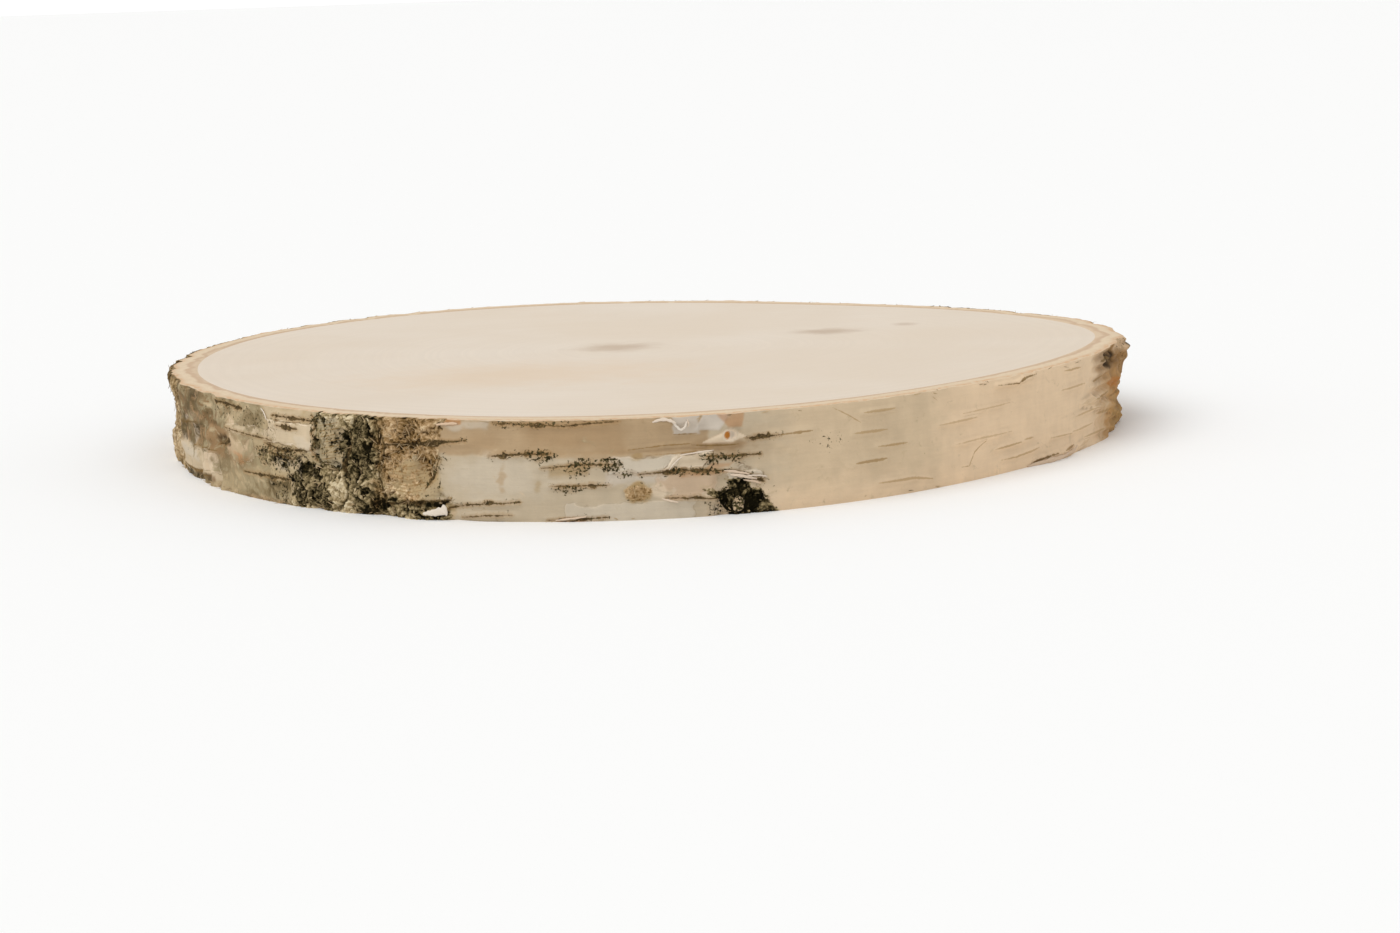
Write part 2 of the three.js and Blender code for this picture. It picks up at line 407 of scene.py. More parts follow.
    MOSS(-116.6, -110.4, 17.8, 20.6, 0.5, 0.7, 1.4, lean=0.5),
    MOSS(-112.6, -110.2, 5.4, 16, 0.5, 0.7, lean=0.15),
    MOSS.blob(-116.4, -112.6, 6, 15, -0.9, 1.4, 2.4),
    MOSS(-125.4, -119.8, -6, 7.4, -0.8, 1, 2),
    MOSS(-121.8, -117.2, -6, 14.6, 0.62, 1.2, 3),
    MOSS(-127, -123.2, 13, 25.6, -0.85, 0.8, 1.6),
    MOSS(-80.8, -78.4, 4, 9, 0.95, 0.5, 1.4),
    MOSS(-80.8, -75, -6, 6.6, 0.9, 0.7, 2, lean=-0.3),
    MOSS(-83.4, -80.4, -6, 5.2, 0.55, 0.8, 2),
    MOSS(-80.6, -75.8, 5, 10.6, 0.25, 1.2, 2, lean=-0.3),
    MOSS.blob(-83.6, -78.4, 13.4, 16.4, 0.9, 0.8, 1.8),
    MOSS.blob(-87, -84.4, 11.2, 13.4, 0.9, 0.7),
    MOSS(-84.6, -80, 10.4, 12.8, 0.7, 0.6),
    MOSS.blob(-101, -97.4, 14.2, 18.8, 0.78, 1, 2, lean=-0.35),
    MOSS.blob(-97.2, -93.8, 11, 16.2, 0.74, 0.8, 2),
    MOSS.blob(-93.6, -91.4, 13, 16.4, 0.95, 0.7),
    MOSS.blob(-92.4, -89.2, 10.8, 13.4, 0.7, 0.6, lean=-0.5),
    MOSS.blob(-97.4, -94.2, 7.4, 10.2, 0.7, 0.6),
    MOSS.blob(-91.4, -88.2, 4.4, 9.2, 0.5, 0.6),
    MOSS(-104, -96, 24.4, 27, 0.6, 0.7),
    MOSS(-208, -150, 9, 38, 0.3, 3, 8),
    MOSS(-206, -170, 17, 38, 0.55, 3, 6),
    MOSS(-149, -133, 18.6, 25, 0.45, 2, 4),
    MOSS.blob(-71.4, -67.4, 14, 19, 0.4, 1.6),
    MOSS(-8, 13, 15, 38, 0.4, 3, 6),
    MOSS.blob(1, 9, 13.4, 17.4, 0.6, 0.9, 1.6),
    # The warm tone of the pale scale in the brown crust.
    OCHRE.blob(-117.6, -111.6, 4.6, 17, 0.4, 1.6, 4),
)


SLITS = (
    # Dark lenticels of the left and front.
    Slit(((-148.6, 24.9), (-145, 24.6), (-141, 24.2)), 1.1, 0.9),
    Slit(((-134.4, 23.9), (-127, 23.5)), 0.8),
    Slit(((-133.4, 21.3), (-129.8, 21)), 0.8),
    Slit(((-146, 17.9), (-140, 17.4), (-134.5, 17)), 0.4, 0.8),
    Slit(((-136.4, 15.8), (-133, 14.6), (-128.6, 15.4)), 0.9, 0.9),
    Slit(((-135.6, 13.6), (-130.5, 12.7)), 0.7, 0.8),
    Slit(((-141.6, 6.8), (-131.5, 7)), 0.8, 0.9),
    Slit(((-167, 14.9), (-161, 15.4), (-156, 16.6)), 0.5, 0.6, 0.3),
    Slit(((-158, 9.6), (-153, 10.2), (-148.6, 10.6)), 0.5, 0.5, 0.3),
    Slit(((-168, 3.6), (-160, 2.6), (-152, 2.2)), 0.6, 0.5, 0.3),
    Slit(((-148.2, 12.6), (-146.6, 12.9), (-144.8, 14.6)), 1.2, 0.8, 0.3),
    Slit(((-117.6, 18.8), (-112, 19.6), (-107.4, 20.7)), 1),
    Slit(((-104.9, 16.8), (-101.6, 17.4), (-98.4, 17.4)), 0.85),
    Slit(((-99.4, 13.8), (-95.6, 14.6), (-92, 14.4)), 0.7),
    Slit(((-98.5, 9.2), (-92.6, 9.3)), 0.65),
    Slit(((-109.6, 3.2), (-107, 4.3), (-101.8, 5.1)), 0.65),
    Slit(((-108.2, 0.8), (-105.6, 1.6), (-102.6, 1.8)), 0.55, 0.85),
    Slit(((-104.4, 25.5), (-99.6, 25), (-96.8, 24.6)), 0.7),
    Slit(((-96.6, 24.7), (-94.6, 25.2), (-91.5, 25.5)), 0.6),
    Slit(((-99, 0.4), (-95.6, 0.7), (-92.8, 1)), 0.5),
    Slit(((-89.6, 11.6), (-85, 12.2), (-80.4, 11.4)), 0.7),
    Slit(((-82.8, 15.5), (-77, 15)), 0.55),
    Slit(((-87, 5.4), (-84, 5), (-81.8, 4.4)), 0.6, 0.9),
    Slit(((-84.6, 5.2), (-83, 4.8)), 0.9, 1),
    Slit(((-78.6, 19.4), (-76.9, 19.3), (-74.8, 19.6)), 0.9),
    Slit(((-117.2, 3.4), (-113.4, 4.4), (-109.4, 5.2)), 0.9),
    # Ochre lenticels of the right.
    Slit(((-75, 19.6), (-71.3, 19.9)), 0.6, 0.3),
    Slit(((-65.2, 23), (-60.9, 23.1)), 0.7, 0.1),
    Slit(((-66.5, 17.8), (-62, 17.8)), 0.75, 0.1),
    Slit(((-63.4, 13.6), (-59.2, 13.5)), 0.55, 0.2),
    Slit(((-66.2, 9.9), (-62.1, 10.2)), 0.85, 0.25),
    Slit(((-63.4, 4), (-58.4, 3.9), (-55.6, 2.8)), 0.65, 0.1),
    Slit(((-54.4, 16.6), (-48.2, 17)), 0.55, 0),
    Slit(((-50.6, 18.6), (-42, 19)), 0.35, 0),
    Slit(((-52, 10.7), (-47.8, 11.1), (-41.6, 11)), 0.4, 0),
    Slit(((-45, 7.1), (-40, 7.6)), 0.55, 0.15),
    Slit(((-39.4, 8), (-37.2, 8)), 0.45, 0.1),
    Slit(((-43.8, 3.8), (-41, 3.8), (-36, 4.7)), 0.55, 0.1),
    Slit(((-30, 24.1), (-25.6, 23.9)), 0.5, 0.15),
    Slit(((-30.8, 18.8), (-24.2, 18.9)), 0.45, 0.05),
    Slit(((-21, 18.2), (-17, 18.6)), 0.7, 0.25),
    Slit(((-27, 10.1), (-20, 10.7)), 0.5, 0),
    Slit(((-22, 13.2), (-15, 13.6)), 0.8, 0.25),
    Slit(((-33.4, 6.4), (-28, 5.9)), 0.4, 0),
    Slit(((-28, 6.3), (-21.6, 6.6)), 0.5, 0),
    Slit(((-20, 8.6), (-12, 8.2)), 0.8, 0.1),
    Slit(((-24, 3.4), (-16, 3.2)), 0.6, 0.05),
    Slit(((-15, 5.6), (-2, 4.9)), 1, 0.25),
    Slit(((-12, 10.8), (0, 9.6)), 0.9, 0.3),
    # Cracks, folds and torn edges.
    Slit(((-68.8, 25.2), (-66.9, 22.7), (-65.4, 20.4)), 0.25, 0.15, 0.1),
    Slit(((-51, 4.3), (-49.6, 4.2), (-48.6, 7.6), (-46.6, 10)), 0.3, 0.2, 0.1),
    Slit(((-44.6, 24.6), (-41.2, 24.2), (-39.6, 25.2), (-37, 25.4)), 0.5, 0.45, 0.5),
    Slit(((-90.6, 18), (-87, 18.8), (-84.2, 18.9)), 0.3, 0.4, 0.3),
    Slit(((-89, 16.4), (-82, 17)), 0.25, 0.25, 0.2),
    # Painted shadow: a dark line under the lower edge of the fold that leads to the branch eye.
    Slit(((-84.2, 18.5), (-82.2, 18), (-79.4, 18.1)), 0.4, 0.45, 0.1),
    Slit(((-86, 21.5), (-83.6, 21.4)), 0.25, 0.4, 0.1),
    # Cracks at the foot of the right, whose dark is partly painted shade in their openings.
    Slit(((-37.6, 0.9), (-35, 1.5), (-32.4, 1.9)), 0.6, 0.5, 0.3),
    Slit(((-31, 2), (-27.6, 2.6)), 0.35, 0.3, 0.3),
    Slit(((-80.6, 11.6), (-79, 10.6), (-77.2, 9.2)), 0.6, 1, 0.3),
    Slit(((-79.8, 10.2), (-78.4, 9.4), (-76.8, 8)), 0.6, 1, 0.3),
    Slit(((-19, 23.2), (-15.5, 23.4), (-12, 21.2)), 1, 0.5, 0.4),
    Slit(((-122.4, 24.8), (-121.4, 19), (-122.8, 13), (-122, 8)), 0.9, 1, 0.3),
    Slit(((-117.9, 25.6), (-116.9, 19), (-117.9, 11), (-117.3, 3.4)), 0.9, 1, 0.3),
    Slit(((-127.5, 25.4), (-126.7, 22.6), (-127.4, 20.4), (-126.9, 18.2)), 0.6, 1, 0.3),
    Slit(((-126.9, 18.2), (-127.6, 15.6), (-126.9, 13)), 0.6, 1, 0.3),
    Slit(((-112.2, 7.6), (-111.3, 11), (-110.4, 16)), 0.5, 0.9, 0.2),
    # Small wrinkles of the right end.
    *(
        Slit(((at, height), (at + 3.4, height + 0.9)), 0.8, -0.25, 0.5)
        for at, height in ((24 * (0.618 * k % 1) - 26, 1.4 + 12 * (0.382 * k % 1)) for k in range(22))
    ),
    # Fine wrinkles across the smooth scales of old bark.
    *(Slit(((-126.4, 13.4 + 1.5 * k), (-123, 15 + 1.5 * k)), 0.22, 0.4, 0.25) for k in range(7)),
    *(
        Slit(((-116.4, 7.4 + 1.6 * k), (-114, 6.8 + 1.7 * k), (-112, 8 + 1.6 * k)), 0.2, 0.35, 0.25)
        for k in range(5)
    ),
)

SHREDS = (
    # The curl on the rim and the hook that hangs from it.
    Shred(((-88.1, 25, 0.1), (-87.2, 25.7, 0.5), (-86.4, 25.4, 0.9), (-85.8, 24.7, 0.8)), 1, 0.75),
    Shred(((-86.3, 25.3, 0.3), (-85.7, 23.8, 0.8), (-85.3, 22.8, 1.1), (-84.9, 23.6, 1.2)), 0.7, 1),
    Shred(((-85.2, 22.9, 1.1), (-84.9, 23.6, 1.2), (-84.7, 25, 0.7)), 0.6, 0.9),
    Shred(((-84.6, 25.4, 0.2), (-84.5, 24.2, 0.5), (-84.6, 23.4, 0.6)), 0.4, 0.6),
    # The chip at the foot of the crust.
    Shred(((-112.2, 1.8, 0.5), (-111.1, 2.2, 0.9), (-109.7, 2.7, 0.7)), 3.6, 0.95, flare=1, thick=0.3),
    # Strips of the left and along the foot.
    Shred(((-136.6, 25.4, 0.1), (-135.8, 24.2, 0.3), (-135.2, 22.4, 0.2)), 0.5, 0.9),
    Shred(((-98.2, 0.4, 0.15), (-96.6, 0.9, 0.4), (-95, 1.3, 0.2)), 0.6, 0.5),
    Shred(((-38.4, 0.2, 0.2), (-35.6, 0.6, 0.9), (-33.2, 0.9, 1.2), (-30.8, 1.3, 0.6)), 1.5, 0.4),
    Shred(((-31.2, 1.2, 0.2), (-29.4, 1.6, 0.8), (-27.6, 2.4, 0.9)), 1.2, 0.3),
    Shred(((-110.6, 24.7, 0.1), (-109.4, 25, 0.3), (-108.2, 25.2, 0.1)), 0.9, 0.3),
    # Layers of paper over the moss, and the folded flap to their left.
    Shred(((-81, 11.5, 0.1), (-80, 11.2, 0.4), (-78.4, 10.2, 0.3)), 0.7, 0.5),
    Shred(((-80.4, 10.4, 0.2), (-79.2, 9.9, 0.5), (-77.6, 8.8, 0.3)), 0.8, 0.6),
    Shred(((-79, 8.8, 0.2), (-78, 8.3, 0.5), (-77.2, 7.6, 0.3)), 0.6, 0.4),
    Shred(((-78.6, 9.9, 0.2), (-77.4, 9.7, 0.5), (-76.5, 9.2, 0.2)), 0.5, 0.8),
    Shred(((-86.6, 12.6, 0.05), (-85.9, 14.6, 0.25), (-85, 16.2, 0.1)), 0.4, 0.85),
    Shred(((-85.4, 16.2, 0.05), (-83.8, 16.6, 0.3), (-82, 16.9, 0.2)), 0.5, 0.8),
    Shred(((-87.4, 5.2, 0.1), (-86.4, 4.6, 0.3), (-85.8, 4.2, 0.3)), 0.6, 0.6),
)

ECHOES = (
    Echo(-132, -109, 147, 117),
    Echo(-109, -83.4, 117, 93),
    Echo(-83.4, -74, 93, 77, upside_down=True),
    Echo(-74, -42, 77, 42),
    Echo(-129, -110, 23, 42, upside_down=True),
    Echo(-152, -132, 160, 147),
)


def with_echoes(marks: tuple[Patch | Line, ...]) -> list[Patch | Line]:
    """The marks of the front, followed by those that the back repeats."""
    return [*marks, *(echo.moved(mark) for echo in ECHOES for mark in marks if echo.takes(mark))]


def smoothstep(low: float, high: float, value: Array) -> Array:
    """A smooth rise from 0 at `low` to 1 at `high`: t squared times (3 - 2t)."""
    share = np.clip((value - low) / (high - low), 0, 1)
    return share * share * (3 - 2 * share)


def bell(distance: Array, spread: float) -> Array:
    """A rounded hump: e to the minus square of distance over spread."""
    return np.exp(-np.square(distance / spread))


def spline_weights(places: Array, count: int, closed: bool) -> Array:
    """Weights of a Catmull-Rom spline through values that stand at whole numbers.

    Args:
        places: Where the spline is read, in steps of the values.
        count: How many values there are.
        closed: Whether the last value is followed by the first.

    Returns:
        A matrix with one row for each place and one column for each value.
    """
    base = np.floor(places).astype(int)
    t = places - base
    taps = np.stack(
        [
            (-t + 2 * t**2 - t**3) / 2,
            (2 - 5 * t**2 + 3 * t**3) / 2,
            (t + 4 * t**2 - 3 * t**3) / 2,
            (t**3 - t**2) / 2,
        ],
        axis=1,
    )
    near = base[:, None] + np.arange(-1, 3)
    near = near % count if closed else np.clip(near, 0, count - 1)
    weights = np.zeros((len(places), count))
    np.add.at(weights, (np.arange(len(places))[:, None], near), taps)
    return weights


@dataclass(frozen=True)
class Grain:
    """Seeded noise over the bark, which closes up after a whole turn round the slice."""

    girth: float
    table_rows: int = 97
    octaves: int = 4

    def _cells(self, place: Place, size: Pair) -> tuple[Array, Array, int]:
        """Places in steps of cells `size` wide and tall, and how many cells go round."""
        around = max(3, round(self.girth / size[0]))
        return place[0] / self.girth * around, place[1] / size[1], around

    def value(self, place: Place, size: Pair, seed: int) -> Array:
        """Smooth noise from 0 to 1: random corner values, blended by smoothstep across each cell.

        Args:
            place: Where, along the bark and up it.
            size: Width and height of one cell.
            seed: Which noise it is.

        Returns:
            The noise at each place.
        """
        u, v, around = self._cells(place, size)
        column, row = np.floor(u).astype(int), np.floor(v).astype(int)
        across, up = smoothstep(0, 1, u - column), smoothstep(0, 1, v - row)
        table = np.random.default_rng(seed).random((self.table_rows, around))
        left, right = column % around, (column + 1) % around
        below, above = (
            table[level, left] + (table[level, right] - table[level, left]) * across
            for level in (row % self.table_rows, (row + 1) % self.table_rows)
        )
        return below + (above - below) * up

    def fractal(self, place: Place, size: Pair, seed: int) -> Array:
        """Noise from 0 to 1 summed over several sizes, each half as large and half as strong."""
        shares = [0.5**octave for octave in range(self.octaves)]
        return sum(
            share * self.value(place, (size[0] * share, size[1] * share), seed + octave)
            for octave, share in enumerate(shares)
        ) / sum(shares)

    def cells(self, place: Place, size: Pair, seed: int) -> tuple[Array, Array]:
        """Crumbs: points strewn one to a cell, each of which claims what lies nearest to it.

        Args:
            place: Where, along the bark and up it.
            size: Width and height of one cell.
            seed: Which strewing it is.

        Returns:
            How far each place lies inside its crumb, as the distance to the second nearest point less
            that to the nearest, in cells, and its crumb's own tone from 0 to 1.
        """
        u, v, around = self._cells(place, size)
        column, row = np.floor(u).astype(int), np.floor(v).astype(int)
        strewn = np.random.default_rng(seed).random((self.table_rows, around, 3))
        nearest, second = np.full(u.shape, np.inf), np.full(u.shape, np.inf)
        tone = np.zeros(u.shape)
        for aside in (-1, 0, 1):
            for over in (-1, 0, 1):
                point = strewn[(row + over) % self.table_rows, (column + aside) % around]
                away = np.hypot(column + aside + point[..., 0] - u, row + over + point[..., 1] - v)
                closer = away < nearest
                second = np.where(closer, nearest, np.minimum(second, away))
                tone = np.where(closer, point[..., 2], tone)
                nearest = np.minimum(nearest, away)
        return second - nearest, tone


class PackedWall:
    """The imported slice's bark wall, as a table of radii by height and angle."""

    def __init__(self, node: Piece) -> None:
        """Reads the table from the node's vertices.

        Args:
            node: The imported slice, whose wall stands on a grid of even angles and heights.
        """
        flat = np.empty(len(node.data.vertices) * 3, np.float32)
        node.data.vertices.foreach_get("co", flat)
        places = flat.reshape(-1, 3).astype(float) / MM
        radius = np.hypot(places[:, 0], places[:, 1])
        wall = radius > radius.max() / 2
        places, radius = places[wall], radius[wall]
        degrees = np.round(np.degrees(np.arctan2(places[:, 1], places[:, 0])) % 360, 2) % 360
        angles, column = np.unique(degrees, return_inverse=True)
        heights, row = np.unique(np.round(places[:, 2], 2), return_inverse=True)
        self.radii = np.zeros((len(heights), len(angles)))
        self.radii[row, column] = radius
        self.first_angle = float(angles[0])
        self.mean_radius = float(self.radii.mean())

    def radius(self, degrees: Array, heights: Array) -> Array:
        """Radii on a finer grid, by a spline through the table along both its ways.

        Args:
            degrees: Angles of the grid's columns.
            heights: Heights of the grid's rows.

        Returns:
            One row for each height and one column for each angle.
        """
        rows, columns = self.radii.shape
        column_places = ((degrees - self.first_angle) % 360) / 360 * columns
        row_places = heights / THICKNESS * (rows - 1)
        up = spline_weights(row_places, rows, closed=False)
        around = spline_weights(column_places, columns, closed=True)
        return up @ self.radii @ around.T


def mesh_object(name: str, points: Array, *faces: Array) -> Piece:
    """Makes a smooth-shaded object at the origin.

    Args:
        name: Name of the object and its mesh.
        points: Vertices in millimetres, three numbers each.
        faces: Arrays of vertex numbers, one row for each face.

    Returns:
        The new object, linked to the scene.
    """
    corners = np.concatenate([f.ravel() for f in faces]).astype(np.int32)
    sizes = np.concatenate([np.full(len(f), f.shape[1]) for f in faces])
    starts = np.concatenate([[0], np.cumsum(sizes)[:-1]]).astype(np.int32)
    mesh = bpy.data.meshes.new(name)
    mesh.vertices.add(len(points))
    mesh.vertices.foreach_set("co", (points * MM).astype(np.float32).ravel())
    mesh.loops.add(len(corners))
    mesh.loops.foreach_set("vertex_index", corners)
    mesh.polygons.add(len(sizes))
    mesh.polygons.foreach_set("loop_start", starts)
    mesh.polygons.foreach_set("use_smooth", np.ones(len(sizes), bool))
    mesh.update(calc_edges=True)
    piece = bpy.data.objects.new(name, mesh)
    bpy.context.scene.collection.objects.link(piece)
    return piece


def store(piece: Piece, name: str, values: Array) -> None:
    """Stores a number for each vertex, or by row, column and channel a colour, as a named attribute."""
    kind, key = ("FLOAT_COLOR", "color") if values.ndim == 3 else ("FLOAT", "value")
    piece.data.attributes.new(name, kind, "POINT").data.foreach_set(key, values.astype(np.float32).ravel())


def store_map(piece: Piece, places: Array) -> None:
    """Stores the flat map of a piece, two numbers for each face corner."""
    layer = piece.data.uv_layers.new(name=BAKE_MAP)
    layer.uv.foreach_set("vector", places.astype(np.float32).ravel())


def around_axis(radius: Array, turn: Array, height: Array) -> Array:
    """Places from radius, angle in radians and height: radius times cosine and sine, and the height."""
    return np.stack([radius * np.cos(turn), radius * np.sin(turn), height], axis=-1)


def grid_quads(rows: int, columns: int, close_rows: bool, close_columns: bool) -> Array:
    """Quads of a grid, facing out where rows rise and columns turn leftwards.

    Args:
        rows: Number of rows of vertices.
        columns: Number of vertices in a row.
        close_rows: Whether the last row joins the first.
        close_columns: Whether the last column joins the first.

    Returns:
        Four vertex numbers for each quad.
    """
    number = np.arange(rows * columns).reshape(rows, columns)
    above, beside = np.roll(number, -1, axis=0), np.roll(number, -1, axis=1)
    corners = np.stack([number, beside, np.roll(beside, -1, axis=0), above], axis=-1)
    kept = corners[: rows if close_rows else rows - 1, : columns if close_columns else columns - 1]
    return kept.reshape(-1, 4)


def fan(pole: int, ring: Array) -> Array:
    """Triangles from a pole to every step of a ring of vertices."""
    return np.stack([np.full_like(ring, pole), ring, np.roll(ring, -1)], axis=-1)


def seat(piece: Piece, material: Material) -> None:
    """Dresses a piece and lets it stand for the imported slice.

    Args:
        piece: The new piece.
        material: Its finish.
    """
    piece.data.materials.append(material)
    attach(piece, BODY)
    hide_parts(NODE)
    triangles = sum(len(p.vertices) - 2 for p in piece.data.polygons)
    LOG.info("%s: %d vertices, %d triangles", piece.name, len(piece.data.vertices), triangles)


@dataclass(frozen=True)
class BranchEye:
    """The healed stub of a twig: a raised ring round a dish, in a fold drawn out to two corners."""

    at: float = -80.25
    height: float = 20.6
    half_width: float = 2.4
    half_height: float = 1.9
    ring_rise: float = 0.25
    dish_depth: float = 0.1
    fold_left: Pair = (7.4, 1.9)
    fold_right: Pair = (4.0, 0.7)
    fold_rise: float = 0.7
    pupil_aside: float = -0.8
    pupil_half: Pair = (0.8, 0.95)
    reach: float = 12.0

    def away(self, place: Place) -> Array:
        """Distance from the eye's middle, 1 on the ring."""
        return np.hypot(place[0] / self.half_width, place[1] / self.half_height)

    def fold(self, place: Place) -> tuple[Array, Array]:
        """The fold, an almond that narrows and falls towards its corners.

        Args:
            place: Where, along the bark and up it from the eye.

        Returns:
            The share of the way from its corner to the eye, and the distance from its middle line,
            which is 1 on its edge.
        """
        aside, above = place
        left = aside < 0
        length, drop = (np.where(left, *pair) for pair in zip(self.fold_left, self.fold_right))
        along = np.clip(1 - np.abs(aside) / length, 0, 1)
        across = np.abs(above + drop * (1 - along)) / (self.half_height * along + 0.02)
        return along, np.where(along > 0, across, FAR)

    def relief(self, place: Place) -> Array:
        """A rolled ring, less a dish, plus the fold, whose section is a half round.

        Args:
            place: Where, along the bark and up it from the eye.

        Returns:
            How far the bark stands proud.
        """
        away = self.away(place)
        along, across = self.fold(place)
        ring = self.ring_rise * bell(away - 0.85, 0.2) - self.dish_depth * bell(away, 0.55)
        hump = np.sqrt(np.clip(1 - np.square(across), 0, 1))
        return ring + self.fold_rise * along * hump * smoothstep(0.5, 1.1, away)

    def tint(self, place: Place, paint: Array) -> Array:
        """Lays the eye's tones over the paint, from the fold in to the pupil, with painted shade along the
        fold's edge.

        Args:
            place: Where, along the bark and up it from the eye.
            paint: The paint under it.

        Returns:
            The paint with the eye on it.
        """
        (aside, above), away, across = place, self.away(place), self.fold(place)[1]
        pupil = np.hypot((aside - self.pupil_aside) / self.pupil_half[0], above / self.pupil_half[1])
        for tone, share in (
            (CREAM, 0.75 * smoothstep(1.15, 0.8, across)),
            # Painted shade: a rose line just outside the fold's edge.
            (ROSE, 0.5 * bell(across - 1.05, 0.15)),
            (IVORY, 0.8 * smoothstep(0.95, 0.8, away)),
            (OLIVE, 0.4 * bell(away - 0.8, 0.08)),
            (LILAC, 0.5 * smoothstep(0.6, 0.4, away)),
            (IVORY, 0.8 * bell(pupil - 1.35, 0.25)),
            (ORANGE, smoothstep(1.2, 0.9, pupil)),
        ):
            paint = paint + share[..., None] * (tone.linear() - paint)
        return paint


@dataclass(frozen=True)
class CrustShade:
    """The crust's tone, and how much each of its features lightens or darkens it."""

    plain: float = 0.84
    brown: float = 0.05
    drift: float = 0.9
    grit: float = 0.6
    fibre: float = 0.55
    crumb: float = 0.5
    plate: float = 0.26
    # Painted shade: crack darkens the cracks between plates, and gap the gaps between crumbs.
    crack: float = 0.4
    gap: float = 0.24
    moss: float = 0.5
    thick_moss: float = 0.3


